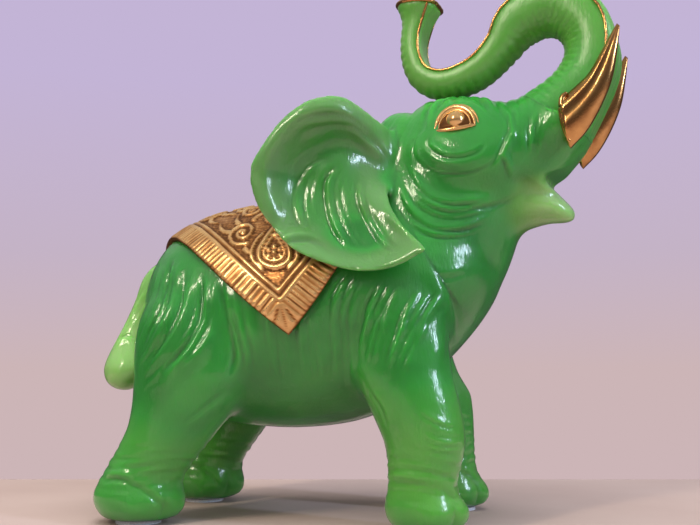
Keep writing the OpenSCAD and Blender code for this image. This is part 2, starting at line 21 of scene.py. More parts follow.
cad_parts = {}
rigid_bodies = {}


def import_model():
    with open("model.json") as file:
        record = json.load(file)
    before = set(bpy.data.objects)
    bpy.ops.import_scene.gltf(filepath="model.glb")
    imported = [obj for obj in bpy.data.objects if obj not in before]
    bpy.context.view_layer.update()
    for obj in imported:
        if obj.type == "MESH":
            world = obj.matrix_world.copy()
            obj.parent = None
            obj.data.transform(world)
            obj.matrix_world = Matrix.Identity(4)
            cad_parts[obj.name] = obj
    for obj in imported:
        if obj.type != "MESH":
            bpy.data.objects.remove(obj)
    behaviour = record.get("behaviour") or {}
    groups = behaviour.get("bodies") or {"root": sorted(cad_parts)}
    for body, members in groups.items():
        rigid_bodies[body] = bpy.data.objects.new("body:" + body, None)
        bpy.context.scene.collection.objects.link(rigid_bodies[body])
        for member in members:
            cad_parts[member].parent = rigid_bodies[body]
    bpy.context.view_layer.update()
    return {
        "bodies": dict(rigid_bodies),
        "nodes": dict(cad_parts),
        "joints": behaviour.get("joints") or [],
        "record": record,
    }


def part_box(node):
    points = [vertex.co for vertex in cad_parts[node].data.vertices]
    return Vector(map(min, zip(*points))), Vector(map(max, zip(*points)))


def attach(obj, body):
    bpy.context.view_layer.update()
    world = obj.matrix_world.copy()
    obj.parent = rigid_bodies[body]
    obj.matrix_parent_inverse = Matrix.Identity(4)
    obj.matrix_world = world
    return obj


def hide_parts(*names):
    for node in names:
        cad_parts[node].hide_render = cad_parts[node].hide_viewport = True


log = logging.getLogger("figurine")

MM = 0.001
BODY = "root"
Point = tuple[float, float]
Place = tuple[float, float, float]
Path = tuple[Point, ...]


class Side(Enum):
    """The animal's own right and left, as the sign of Y."""

    RIGHT = -1
    LEFT = 1

    @property
    def word(self) -> str:
        """The ending that this side's nodes carry."""
        return self.name.lower()


class Cut(Enum):
    """What a cutter leaves of a mesh, as the boolean's operation."""

    REST = "DIFFERENCE"
    PIECE = "INTERSECT"


# Small tools for numbers, meshes and nodes


def linear(code: str) -> tuple[float, float, float, float]:
    """Turns an sRGB hex colour into the linear one that a socket takes.

    Args:
        code: Six hex digits after a hash.
    Returns:
        Linear red, green, blue and an alpha of one.
    """
    values = [int(code[i:i + 2], 16) / 255 for i in (1, 3, 5)]
    bent = [v / 12.92 if v <= 0.04045 else ((v + 0.055) / 1.055) ** 2.4 for v in values]
    return (*bent, 1.0)


def ease(value: np.ndarray, low: float, high: float) -> np.ndarray:
    """Rises smoothly from 0 at low to 1 at high, which may be the smaller of the two."""
    share = np.clip((value - low) / (high - low), 0, 1)
    return share * share * (3 - 2 * share)


def bell(value: np.ndarray, middle: float, width: float) -> np.ndarray:
    """A smooth hump of height 1 at the middle."""
    return np.exp(-(((value - middle) / width) ** 2))


def dome(value: np.ndarray) -> np.ndarray:
    """A half-round of height 1 over values from -1 to 1."""
    return np.sqrt(np.clip(1 - value**2, 0, 1))


def curve(points: np.ndarray, steps: int = 8) -> np.ndarray:
    """Draws a smooth line through a few points.

    Args:
        points: The points it passes, one in each row.
        steps: Short straight pieces between two points.
    Returns:
        The points along the line.
    """
    ends = np.vstack([2 * points[0] - points[1], points, 2 * points[-1] - points[-2]])
    shares = np.linspace(0, 1, steps, endpoint=False)[:, None]
    runs = []
    for a, b, c, d in zip(ends, ends[1:], ends[2:], ends[3:]):
        rise = (c - a) * shares
        bend = (2 * a - 5 * b + 4 * c - d) * shares**2
        twist = (3 * b - a - 3 * c + d) * shares**3
        runs.append(0.5 * (2 * b + rise + bend + twist))
    return np.vstack([*runs, points[-1:]])


def off_line(spots: np.ndarray, line: np.ndarray) -> tuple[np.ndarray, np.ndarray]:
    """Measures flat points against a flat line.

    Args:
        spots: The points, one in each row.
        line: The line's points in order.
    Returns:
        The distance to the line, positive on its left, and the length along it.
    """
    best = np.full(len(spots), np.inf)
    signed = np.zeros(len(spots))
    along = np.zeros(len(spots))
    run = 0.0
    for a, b in zip(line, line[1:]):
        way = b - a
        length = float(np.hypot(*way))
        if length == 0:
            continue
        gap = spots - a
        share = np.clip(gap @ way / length**2, 0, 1)
        rest = gap - share[:, None] * way
        distance = np.hypot(rest[:, 0], rest[:, 1])
        near = distance < best
        best = np.where(near, distance, best)
        left = np.sign(way[0] * gap[:, 1] - way[1] * gap[:, 0])
        signed = np.where(near, left * distance, signed)
        along = np.where(near, run + share * length, along)
        run += length
    return signed, along


def new_object(name: str, mesh: bpy.types.Mesh) -> bpy.types.Object:
    """Puts a mesh into the scene.

    Args:
        name: The object's name.
        mesh: Its mesh.
    Returns:
        The object, at the origin.
    """
    piece = bpy.data.objects.new(name, mesh)
    bpy.context.scene.collection.objects.link(piece)
    return piece


def discard(helper: bpy.types.Object) -> None:
    """Removes an object that only helped, together with its mesh.

    Args:
        helper: The object.
    """
    mesh = helper.data
    bpy.data.objects.remove(helper)
    bpy.data.meshes.remove(mesh)


def coat(mesh: bpy.types.Mesh, material: bpy.types.Material) -> None:
    """Makes a finish the only one on a mesh."""
    mesh.materials.clear()
    mesh.materials.append(material)


def dressed(name: str, mesh: bpy.types.Mesh, material: bpy.types.Material, node: str) -> bpy.types.Object:
    """Puts a finished mesh in the place of a node.

    Args:
        name: The piece's name.
        mesh: Its mesh.
        material: Its finish.
        node: The node that it replaces.
    Returns:
        The piece.
    """
    piece = new_object(name, mesh)
    coat(mesh, material)
    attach(piece, BODY)
    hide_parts(node)
    return piece


def mesh_of(shape: bmesh.types.BMesh, name: str) -> bpy.types.Mesh:
    """Makes a smooth-shaded mesh of a bmesh and frees it.

    Args:
        shape: The bmesh.
        name: The mesh's name.
    Returns:
        The mesh.
    """
    for face in shape.faces:
        face.smooth = True
    mesh = bpy.data.meshes.new(name)
    shape.to_mesh(mesh)
    shape.free()
    return mesh


def merged_copy(node: bpy.types.Object) -> bmesh.types.BMesh:
    """Copies a node of the frame with its loose triangles joined.

    Args:
        node: The node.
    Returns:
        The copy in metres.
    """
    shape = bmesh.new()
    shape.from_mesh(node.data)
    bmesh.ops.remove_doubles(shape, verts=shape.verts, dist=0.002 * MM)
    return shape


def modified(mesh: bpy.types.Mesh, kind: str, **settings: object) -> bpy.types.Mesh:
    """Runs one modifier over a mesh.

    Args:
        mesh: The mesh it starts from, which is removed.
        kind: The modifier's type.
        settings: What is set on the modifier.
    Returns:
        The mesh that the modifier makes.
    """
    holder = new_object("holder", mesh)
    modifier = holder.modifiers.new(kind.lower(), kind)
    for name, value in settings.items():
        setattr(modifier, name, value)
    seen = holder.evaluated_get(bpy.context.evaluated_depsgraph_get())
    made = bpy.data.meshes.new_from_object(seen)
    discard(holder)
    return made


def voxel_skin(mesh: bpy.types.Mesh, size: float) -> bpy.types.Mesh:
    """Grows one even skin over everything in a mesh, with cells of a size in millimetres."""
    return modified(mesh, "REMESH", mode="VOXEL", voxel_size=size * MM, use_smooth_shade=True)


def cut(mesh: bpy.types.Mesh, cutter: bpy.types.Object, leaves: Cut) -> bpy.types.Mesh:
    """Cuts a mesh, which is removed, with a closed object that stays."""
    return modified(mesh, "BOOLEAN", operation=leaves.value, object=cutter, solver="MANIFOLD")


def outer_only(mesh: bpy.types.Mesh) -> bpy.types.Mesh:
    """Drops every island of a mesh but the largest.

    Args:
        mesh: The mesh, which is changed.
    Returns:
        The same mesh.
    """
    shape = bmesh.new()
    shape.from_mesh(mesh)
    left = set(shape.verts)
    islands = []
    while left:
        island = {left.pop()}
        edge = list(island)
        while edge:
            vert = edge.pop()
            near = {e.other_vert(vert) for e in vert.link_edges} - island
            island |= near
            edge.extend(near)
        left -= island
        islands.append(island)
    islands.sort(key=len, reverse=True)
    for island in islands[1:]:
        bmesh.ops.delete(shape, geom=list(island), context="VERTS")
    shape.to_mesh(mesh)
    shape.free()
    return mesh


def loft(shape: bmesh.types.BMesh, rows: list[list[Vector]]) -> list[list[bmesh.types.BMVert]]:
    """Joins rings of points into a tube that is open at both ends.

    Args:
        shape: The bmesh that it is added to.
        rows: The rings, all with as many points.
    Returns:
        The rings' vertices.
    """
    rings = [[shape.verts.new(spot) for spot in row] for row in rows]
    for lower, upper in zip(rings, rings[1:]):
        for k in range(len(lower)):
            shape.faces.new((lower[k - 1], lower[k], upper[k], upper[k - 1]))
    return rings


def closed_loft(rows: list[list[Vector]]) -> bmesh.types.BMesh:
    """Lofts rings of points into a closed solid with flat ends.

    Args:
        rows: The rings, all with as many points.
    Returns:
        The solid.
    """
    shape = bmesh.new()
    rings = loft(shape, rows)
    ends = [shape.faces.new(rings[0]), shape.faces.new(rings[-1])]
    bmesh.ops.triangulate(shape, faces=ends)
    bmesh.ops.recalc_face_normals(shape, faces=shape.faces)
    return shape


def swept(shape: bmesh.types.BMesh, line: np.ndarray, radii: np.ndarray, sides: int = 14) -> None:
    """Adds a round rod along a line, with a pole at both ends.

    Args:
        shape: The bmesh it is added to.
        line: The rod's middle, one point in each row.
        radii: The rod's radius at each point.
        sides: The points round the rod.
    """
    turns = [2 * math.pi * k / sides for k in range(sides)]
    rows = []
    for middle, way, radius in zip(line, np.gradient(line, axis=0), radii):
        frame = Vector(way).to_track_quat("Z", "Y").to_matrix()
        spots = [frame @ Vector((radius * math.cos(a), radius * math.sin(a), 0)) for a in turns]
        rows.append([Vector(middle) + spot for spot in spots])
    rings = loft(shape, rows)
    for ring, end, turn in ((rings[0], line[0], -1), (rings[-1], line[-1], 1)):
        pole = shape.verts.new(end)
        for k in range(sides):
            shape.faces.new((ring[k - 1], ring[k], pole)[::turn])


def add_node(tree: bpy.types.NodeTree, kind: str, inputs: dict | None = None,
             stops: tuple[tuple[float, str], ...] = (), **settings: object) -> bpy.types.Node:
    """Adds a node with its settings and links.

    Args:
        tree: The tree that it goes into.
        kind: The node's type.
        inputs: For each input, a value or the output socket that feeds it.
        stops: Places along the node's colour ramp with their sRGB hex colours, where it has one.
        settings: The node's own properties.
    Returns:
        The node.
    """
    node = tree.nodes.new(kind)
    for name, value in settings.items():
        setattr(node, name, value)
    for name, value in (inputs or {}).items():
        if isinstance(value, bpy.types.NodeSocket):
            tree.links.new(value, node.inputs[name])
        else:
            node.inputs[name].default_value = value
    for _ in stops[2:]:
        node.color_ramp.elements.new(0.5)
    for k, (place, code) in enumerate(stops):
        node.color_ramp.elements[k].position = place
        node.color_ramp.elements[k].color = linear(code)
    return node


def empty_material(name: str) -> tuple[bpy.types.Material, bpy.types.NodeTree]:
    """Makes a material with no nodes.

    Args:
        name: The material's name.
    Returns:
        The material and its empty tree.
    """
    material = bpy.data.materials.new(name)
    material.use_nodes = True
    tree = material.node_tree
    tree.nodes.clear()
    return material, tree


def per_metre(size: float) -> float:
    """The texture scale that gives a pattern of a size in millimetres on Object coordinates."""
    return 1 / (size * MM)


# Finishes


@dataclass(frozen=True)
class JadeResin:
    """Polyester resin cast in a soft mould and lacquered, dyed to look like jade.

    Light goes a few millimetres in, so thin places are paler and yellower than thick ones, and this
    glow of light through thin resin is also painted into the base colour. The lacquer gives small
    sharp highlights that the hide's folds break up, and the resin below it a faint haze.
    """

    name: str = "jade_resin"
    deep: str = "#1f7a2a"
    full: str = "#2f9036"
    limb: str = "#58a03e"
    pale: str = "#7fb260"
    clear: str = "#90bf74"
    roughness: float = 0.14
    haze: float = 0.42
    haze_strength: float = 0.25
    cloud_size: float = 26.0
    lump_size: float = 5.0
    lump_depth: float = 0.3
    hair_size: float = 0.8
    hair_depth: float = 0.1
    scatter: float = 6.0

    def build(self) -> bpy.types.Material:
        """Builds the material, which paints the glow of light through thin resin from the attribute thin.

        Returns:
            The material.
        """
        material, tree = empty_material(self.name)
        place = add_node(tree, "ShaderNodeTexCoord").outputs["Object"]
        thin = add_node(tree, "ShaderNodeAttribute", attribute_name="thin").outputs["Fac"]
        cloud = add_node(tree, "ShaderNodeTexNoise",
                         {"Vector": place, "Scale": per_metre(self.cloud_size), "Detail": 3.0})
        drift = add_node(tree, "ShaderNodeMapRange",
                         {"Value": cloud.outputs["Fac"], "From Min": 0.3, "From Max": 0.7,
                          "To Min": -0.05, "To Max": 0.05})
        level = add_node(tree, "ShaderNodeMath", {0: thin, 1: drift.outputs["Result"]}, operation="ADD")
        # Painted glow: deep and full where the resin is thick, limb, pale and clear where thin resin is lit
        # through.
        stops = ((0.10, self.deep), (0.18, self.full), (0.34, self.limb), (0.66, self.pale),
                 (0.95, self.clear))
        colour = add_node(tree, "ShaderNodeValToRGB", {"Fac": level.outputs["Value"]}, stops)
        lumps = add_node(tree, "ShaderNodeTexNoise",
                         {"Vector": place, "Scale": per_metre(self.lump_size), "Detail": 2.0})
        stretch = add_node(tree, "ShaderNodeMapping", {"Vector": place, "Scale": (1.0, 1.0, 0.25)})
        hairs = add_node(tree, "ShaderNodeTexNoise",
                         {"Vector": stretch.outputs["Vector"], "Scale": per_metre(self.hair_size),
                          "Detail": 2.0})
        uneven = add_node(tree, "ShaderNodeBump",
                          {"Height": lumps.outputs["Fac"], "Strength": 0.6,
                           "Distance": self.lump_depth * MM})
        relief = add_node(tree, "ShaderNodeBump",
                          {"Height": hairs.outputs["Fac"], "Strength": 0.9,
                           "Distance": self.hair_depth * MM, "Normal": uneven.outputs["Normal"]})
        shader = add_node(tree, "ShaderNodeBsdfPrincipled",
                          {"Base Color": colour.outputs["Color"], "Roughness": self.haze, "IOR": 1.5,
                           "Specular IOR Level": self.haze_strength,
                           "Normal": relief.outputs["Normal"],
                           "Coat Weight": 1.0, "Coat Roughness": self.roughness,
                           "Coat Normal": relief.outputs["Normal"],
                           "Subsurface Weight": 1.0, "Subsurface Radius": (0.5, 1.0, 0.35),
                           "Subsurface Scale": self.scatter * MM})
        add_node(tree, "ShaderNodeOutputMaterial", {"Surface": shader.outputs["BSDF"]})
        return material


@dataclass(frozen=True)
class Gilding:
    """Bronze-gold paint, burnished on the high places and rubbed with brown in the low ones.

    A burnished part mirrors its surroundings in warm gold, and the hollows stay brown and dull.
    """

    name: str
    bright: str = "#efc283"
    worn: str = "#b67c45"
    hollow: str = "#66401f"
    smear_size: float = 7.0
    grain_size: float = 0.9
    roughness: tuple[float, float] = (0.18, 0.42)
    grain_depth: float = 0.08
    metal: float = 0.8

    def build(self) -> bpy.types.Material:
        """Builds the material, which reads the attribute hollow where a piece has one.

        Returns:
            The material.
        """
        material, tree = empty_material(self.name)
        place = add_node(tree, "ShaderNodeTexCoord").outputs["Object"]
        hollow = add_node(tree, "ShaderNodeAttribute", attribute_name="hollow").outputs["Fac"]
        smear = add_node(tree, "ShaderNodeTexNoise",
                         {"Vector": place, "Scale": per_metre(self.smear_size), "Detail": 4.0})
        dirt = add_node(tree, "ShaderNodeMapRange",
                        {"Value": smear.outputs["Fac"], "From Min": 0.35, "From Max": 0.75,
                         "To Min": 0.0, "To Max": 0.45})
        level = add_node(tree, "ShaderNodeMath", {0: hollow, 1: dirt.outputs["Result"]}, operation="ADD")
        stops = ((0.05, self.bright), (0.5, self.worn), (0.95, self.hollow))
        colour = add_node(tree, "ShaderNodeValToRGB", {"Fac": level.outputs["Value"]}, stops)
        low, high = self.roughness
        dull = add_node(tree, "ShaderNodeMapRange",
                        {"Value": level.outputs["Value"], "To Min": low, "To Max": high})
        grain = add_node(tree, "ShaderNodeTexNoise",
                         {"Vector": place, "Scale": per_metre(self.grain_size), "Detail": 3.0})
        relief = add_node(tree, "ShaderNodeBump",
                          {"Height": grain.outputs["Fac"], "Strength": 0.35,
                           "Distance": self.grain_depth * MM})
        shader = add_node(tree, "ShaderNodeBsdfPrincipled",
                          {"Base Color": colour.outputs["Color"], "Roughness": dull.outputs["Result"],
                           "Normal": relief.outputs["Normal"], "Metallic": self.metal})
        add_node(tree, "ShaderNodeOutputMaterial", {"Surface": shader.outputs["BSDF"]})
        return material


@dataclass(frozen=True)
class SoftPad:
    """Self-adhesive foam, punched into discs: matt, pale, with a fine open grain."""

    name: str = "foam_pad"
    light: str = "#e6e8ee"
    shade: str = "#c9cedb"
    grain_size: float = 0.6

    def build(self) -> bpy.types.Material:
        """Builds the material.

        Returns:
            The material.
        """
        material, tree = empty_material(self.name)
        place = add_node(tree, "ShaderNodeTexCoord").outputs["Object"]
        grain = add_node(tree, "ShaderNodeTexNoise",
                         {"Vector": place, "Scale": per_metre(self.grain_size), "Detail": 2.0})
        colour = add_node(tree, "ShaderNodeValToRGB", {"Fac": grain.outputs["Fac"]},
                          ((0.3, self.shade), (0.7, self.light)))
        relief = add_node(tree, "ShaderNodeBump",
                          {"Height": grain.outputs["Fac"], "Strength": 0.5, "Distance": 0.1 * MM})
        shader = add_node(tree, "ShaderNodeBsdfPrincipled",
                          {"Base Color": colour.outputs["Color"], "Roughness": 0.85,
                           "Normal": relief.outputs["Normal"]})
        add_node(tree, "ShaderNodeOutputMaterial", {"Surface": shader.outputs["BSDF"]})
        return material


@dataclass(frozen=True)
class DrawnSteel:
    """Bright drawn steel rod: grey metal with fine lines along the draw."""

    name: str = "drawn_steel"
    light: str = "#b9bcc0"
    shade: str = "#8d9196"
    line_size: float = 0.5

    def build(self) -> bpy.types.Material:
        """Builds the material.

        Returns:
            The material.
        """
        material, tree = empty_material(self.name)
        place = add_node(tree, "ShaderNodeTexCoord").outputs["Object"]
        lines = add_node(tree, "ShaderNodeTexNoise",
                         {"Vector": place, "Scale": per_metre(self.line_size), "Detail": 1.0})
        colour = add_node(tree, "ShaderNodeValToRGB", {"Fac": lines.outputs["Fac"]},
                          ((0.3, self.shade), (0.7, self.light)))
        shader = add_node(tree, "ShaderNodeBsdfPrincipled",
                          {"Base Color": colour.outputs["Color"], "Metallic": 1.0, "Roughness": 0.35})
        add_node(tree, "ShaderNodeOutputMaterial", {"Surface": shader.outputs["BSDF"]})
        return material


@dataclass(frozen=True)
class TableTop:
    """Off-white laminate board: satin, with the faintest mottling."""

    name: str = "laminate"
    light: str = "#bfaaa3"
    shade: str = "#b8a29b"
    mottle_size: float = 60.0

    def build(self) -> bpy.types.Material:
        """Builds the material.

        Returns:
            The material.
        """
        material, tree = empty_material(self.name)
        place = add_node(tree, "ShaderNodeTexCoord").outputs["Object"]
        mottle = add_node(tree, "ShaderNodeTexNoise",
                          {"Vector": place, "Scale": per_metre(self.mottle_size), "Detail": 3.0})
        colour = add_node(tree, "ShaderNodeValToRGB", {"Fac": mottle.outputs["Fac"]},
                          ((0.3, self.shade), (0.7, self.light)))
        shader = add_node(tree, "ShaderNodeBsdfPrincipled",
                          {"Base Color": colour.outputs["Color"], "Roughness": 0.7,
                           "Specular IOR Level": 0.1})
        add_node(tree, "ShaderNodeOutputMaterial", {"Surface": shader.outputs["BSDF"]})
        return material


# The carving of the hide


@dataclass(frozen=True)
class FoldFan:
    """A spread of folds drawn on the side view, from a first line to a last one.

    A fold is a groove with a soft roll of flesh on its left. The points are forward and upward
    places in millimetres. The roll and the groove are given by middle and spread, in widths.
    """

    casting: str
    first: Path
    last: Path | None
    count: int
    width: float
    height: float
    roll: Point = (0.9, 1.3)
    groove: Point = (-0.2, 0.55)
    groove_depth: float = 1.15
    unevenness: float = 0.28
    fade_in: float = 0.25
    fade_out: float = 0.7

    def lines(self) -> list[np.ndarray]:
        """Draws the folds, spread a little unevenly from the first to the last.

        Returns:
            One smooth line for each fold.
        """
        first = np.array(self.first, float)
        last = np.array(self.last or self.first, float)
        steps = np.arange(self.count)
        shares = (steps + self.unevenness * np.sin(2.1 * steps + self.height)) / max(self.count - 1, 1)
        return [curve(first + (last - first) * share) for share in shares]

    def carve(self, spots: np.ndarray, facing: np.ndarray) -> np.ndarray:
        """Works out how far the folds move a skin.

        Args:
            spots: Forward and upward places of the vertices.
            facing: How squarely each vertex faces the side, from 0 to 1.
        Returns:
            Outward moves in millimetres.
        """
        moves = np.zeros(len(spots))
        for number, line in enumerate(self.lines()):
            room = 4 * self.width
            low = line.min(0) - room
            high = line.max(0) + room
            near = np.flatnonzero(((spots > low) & (spots < high)).all(1) & (facing > 0))
            if not len(near):
                continue
            signed, along = off_line(spots[near], line)
            length = np.hypot(*np.diff(line, axis=0).T).sum()
            fade = ease(along, 0, self.fade_in * length) * ease(along, length, self.fade_out * length)
            across = signed / self.width
            profile = bell(across, *self.roll) - self.groove_depth * bell(across, *self.groove)
            strength = self.height * (0.8 + 0.25 * math.sin(2.4 * number + 0.6))
            waver = 0.8 + 0.3 * np.sin(0.28 * along + 1.7 * number)
            moves[near] += strength * waver * fade * facing[near] * profile
        return moves


@dataclass(frozen=True)
class Swelling:
    """A rounded mass raised on both sides of the animal, or a hollow where it is negative."""

    casting: str
    middle: Place
    reach: Place
    height: float

    def carve(self, places: np.ndarray) -> np.ndarray:
        """Outward moves in millimetres, for places whose Y is taken from the centre plane."""
        gap = (places - np.array(self.middle)) / np.array(self.reach)
        return self.height * np.exp(-(gap**2).sum(1))


class Skin:
    """A mesh held as arrays of millimetres, for the carving that moves its vertices."""

    def __init__(self, mesh: bpy.types.Mesh) -> None:
        """Reads the mesh.

        Args:
            mesh: The mesh, which store() writes back to.
        """
        self.mesh = mesh
        flat = np.empty(len(mesh.vertices) * 3)
        mesh.vertices.foreach_get("co", flat)
        self.places = flat.reshape(-1, 3) / MM
        ends = np.empty(len(mesh.edges) * 2, np.int64)
        mesh.edges.foreach_get("vertices", ends)
        self.starts, self.stops = ends.reshape(-1, 2).T
        self.valence = np.bincount(ends, minlength=len(self.places))

    def store(self) -> None:
        """Writes the places back to the mesh."""
        self.mesh.vertices.foreach_set("co", (self.places * MM).ravel())
        self.mesh.update()

    def normals(self) -> np.ndarray:
        """Stores the places and reads how the vertices face.

        Returns:
            The vertices' outward directions.
        """
        self.store()
        flat = np.empty(len(self.places) * 3, np.float32)
        self.mesh.vertex_normals.foreach_get("vector", flat)
        return flat.reshape(-1, 3).astype(float)

    def averaged(self, values: np.ndarray) -> np.ndarray:
        """Takes the mean of each vertex's neighbours.

        Args:
            values: One value or one row to a vertex.
        Returns:
            The means, in the same form.
        """
        columns = values.reshape(len(values), -1)
        total = np.empty_like(columns)
        for k in range(columns.shape[1]):
            ahead = np.bincount(self.starts, columns[self.stops, k], len(columns))
            behind = np.bincount(self.stops, columns[self.starts, k], len(columns))
            total[:, k] = (ahead + behind) / self.valence
        return total.reshape(values.shape)

    def spread(self, values: np.ndarray, rounds: int) -> np.ndarray:
        """Evens values out over the neighbours.

        Args:
            values: One value to a vertex.
            rounds: How often each goes halfway to its neighbours' mean.
        Returns:
            The evened values.
        """
        for _ in range(rounds):
            values = 0.5 * (values + self.averaged(values))
        return values

    def soften(self, rounds: int, weight: np.ndarray) -> None:
        """Rounds the form off.

        Args:
            rounds: How often each vertex is pulled towards its neighbours.
            weight: How much each vertex may move, from 0 to 1.
        """
        for _ in range(rounds):
            pull = self.averaged(self.places) - self.places
            self.places += 0.5 * weight[:, None] * pull

    def relax(self, rounds: int) -> None:
        """Smooths out the cells' steps without shrinking the form.

        Args:
            rounds: How often the skin is pulled in and let out again.
        """
        for _ in range(rounds):
            for pull in (0.5, -0.52):
                self.places += pull * (self.averaged(self.places) - self.places)

    def fill_creases(self, rounds: int, weight: np.ndarray) -> None:
        """Fills inward creases to soft fillets and leaves the outward forms alone.

        Args:
            rounds: How often the fill is repeated, which sets the fillet's width.
            weight: How much each vertex may move, from 0 to 1.
        """
        for _ in range(rounds):
            outward = self.normals()
            pull = self.averaged(self.places) - self.places
            rise = np.maximum((pull * outward).sum(1), 0) * weight
            self.places += (0.7 * rise)[:, None] * outward


@dataclass(frozen=True)
class Stance:
    """Places that the carving needs, from the frame's own sizes.

    Lines on the head and the trunk are drawn on the side view of the straight-ahead head. A foot is
    its middle ahead and across, and half its length.
    """

    skull: Point = (34.5, 130.0)
    head_turn: float = 8.0
    neck_face: Place = (36.7, 0.0, 79.9)
    neck_lean: float = 31.0
    sole: float = 1.2
    feet: tuple[Place, ...] = (
        (27.5, -28.5, 15.0), (30.5, 28.5, 15.0), (-76.0, -28.5, 17.5), (-74.0, 28.5, 17.5))
    foot_width: float = 13.0
    foot_reach: float = 26.0
    trunk_line: Path = (
        (53, 133), (63, 139), (73, 144), (79, 152), (84, 159), (87, 169), (84, 179), (73, 187), (60, 182),
        (54, 173), (45, 165), (33, 162), (24, 165), (21, 172), (20, 180), (21, 188), (22, 194))
    trunk_end: Point = (188, 194)
    mouth: Path = ((58, 120.8), (68, 121.2), (74.5, 123.8), (81, 127.5), (92, 129), (92, 118), (77, 117),
                   (75, 118.5), (72.5, 120), (68, 120.4))
    mouth_half_width: float = 40.0
    mouth_corner: Point = (70, 121)
    lip_tip: Place = (77, 0, 111)

    def turned(self, places: np.ndarray, angle: float) -> np.ndarray:
        """Turns places about the skull's upright axis.

        Args:
            places: Places in millimetres.
            angle: Degrees towards the animal's right.
        Returns:
            The turned places.
        """
        bend = math.radians(angle)
        ahead = places[:, 0] - self.skull[0]
        made = places.copy()
        made[:, 0] = self.skull[0] + ahead * math.cos(bend) + places[:, 1] * math.sin(bend)
        made[:, 1] = places[:, 1] * math.cos(bend) - ahead * math.sin(bend)
        return made

    def in_head(self, places: np.ndarray) -> np.ndarray:
        """Turns places on the head back to the straight-ahead head."""
        return self.turned(places, -self.head_turn)

    def from_head(self, places: np.ndarray) -> np.ndarray:
        """Turns places on the straight-ahead head to where the head looks."""
        return self.turned(places, self.head_turn)

    def from_foot(self, places: np.ndarray, ahead: float, across: float) -> tuple[np.ndarray, np.ndarray]:
        """Measures places from the middle of a foot.

        Args:
            places: Places in millimetres.
            ahead: The foot's forward place.
            across: Its place across.
        Returns:
            How far ahead and across each place lies, and which places belong to the foot.
        """
        gap = places[:, :2] - (ahead, across)
        return gap, np.hypot(gap[:, 0], gap[:, 1]) < self.foot_reach


@dataclass(frozen=True)
class TrunkRings:
    """Ring wrinkles on the back of the snout and the trunk, and the hollow along the underside."""

    pitch: float = 2.9
    depth: float = 0.6
    back: Point = (0.5, 6.0)
    underside: Point = (-2.5, -5.0)
    hollow: float = 0.7
    hollow_half_width: Point = (6.5, 2.0)
    root_fade: Point = (2.0, 12.0)
    tip_fade: float = 6.0

    def carve(self, straight: np.ndarray, names: np.ndarray, stance: Stance) -> np.ndarray:
        """Works out how far the rings move a skin.

        Args:
            straight: The vertices' places on the straight-ahead head.
            names: The casting that each vertex belongs to.
            stance: The figurine's named places.
        Returns:
            Outward moves in millimetres.
        """
        moves = np.zeros(len(straight))
        ringed = np.isin(names, ("trunk", "head"))
        line = curve(np.array(stance.trunk_line, float))
        signed, along = off_line(straight[ringed][:, [0, 2]], line)
        length = np.hypot(*np.diff(line, axis=0).T).sum()
        back = ease(signed, *self.back)
        under = ease(signed, *self.underside) * (names[ringed] == "trunk")
        wave = np.abs(np.sin(math.pi * along / self.pitch)) ** 0.7 - 0.6
        ends = ease(along, *self.root_fade) * ease(along, length, length - self.tip_fade)
        across = np.abs(straight[ringed][:, 1])
        hollow = self.hollow * under * ease(across, *self.hollow_half_width)
        moves[ringed] = ends * (self.depth * back * wave - hollow)
        return moves


@dataclass(frozen=True)
class Toes:
    """Toes round the front of each foot, and wrinkles round each ankle."""

    level: float = 4.5
    height: float = 4.0
    bulge: float = 1.9
    spacing: float = 2.4
    turn_fade: Point = (1.9, 1.3)
    ankle_level: float = 19.0
    ankle_height: float = 7.0
    wrinkle_pitch: float = 3.4
    wrinkle_sway: float = 1.4
    wrinkle_depth: float = 0.3

    def carve(self, places: np.ndarray, outward: np.ndarray, stance: Stance) -> np.ndarray:
        """Works out how far the toes and the wrinkles move a skin.

        Args:
            places: The vertices' places in millimetres.
            outward: The vertices' outward directions.
            stance: The figurine's named places.
        Returns:
            Outward moves in millimetres.
        """
        moves = np.zeros(len(places))
        side_on = ease(np.abs(outward[:, 2]), 0.95, 0.6)
        height = places[:, 2] - stance.sole
        for ahead, across, length in stance.feet:
            gap, own = stance.from_foot(places, ahead, across)
            turn = np.arctan2(gap[:, 1] / stance.foot_width, gap[:, 0] / length)
            toes = bell(height, self.level, self.height) * ease(np.abs(turn), *self.turn_fade)
            bumps = np.abs(np.cos(turn * self.spacing)) ** 0.7 - 0.5
            sway = self.wrinkle_sway * np.sin(2 * turn + ahead)
            rings = np.sin(2 * math.pi * (height + sway) / self.wrinkle_pitch)
            patchy = 0.6 + 0.4 * np.sin(5 * turn + height)
            ankle = bell(height, self.ankle_level, self.ankle_height) * patchy
            carved = self.bulge * toes * bumps + self.wrinkle_depth * ankle * rings
            moves += np.where(own, side_on * carved, 0)
        return moves


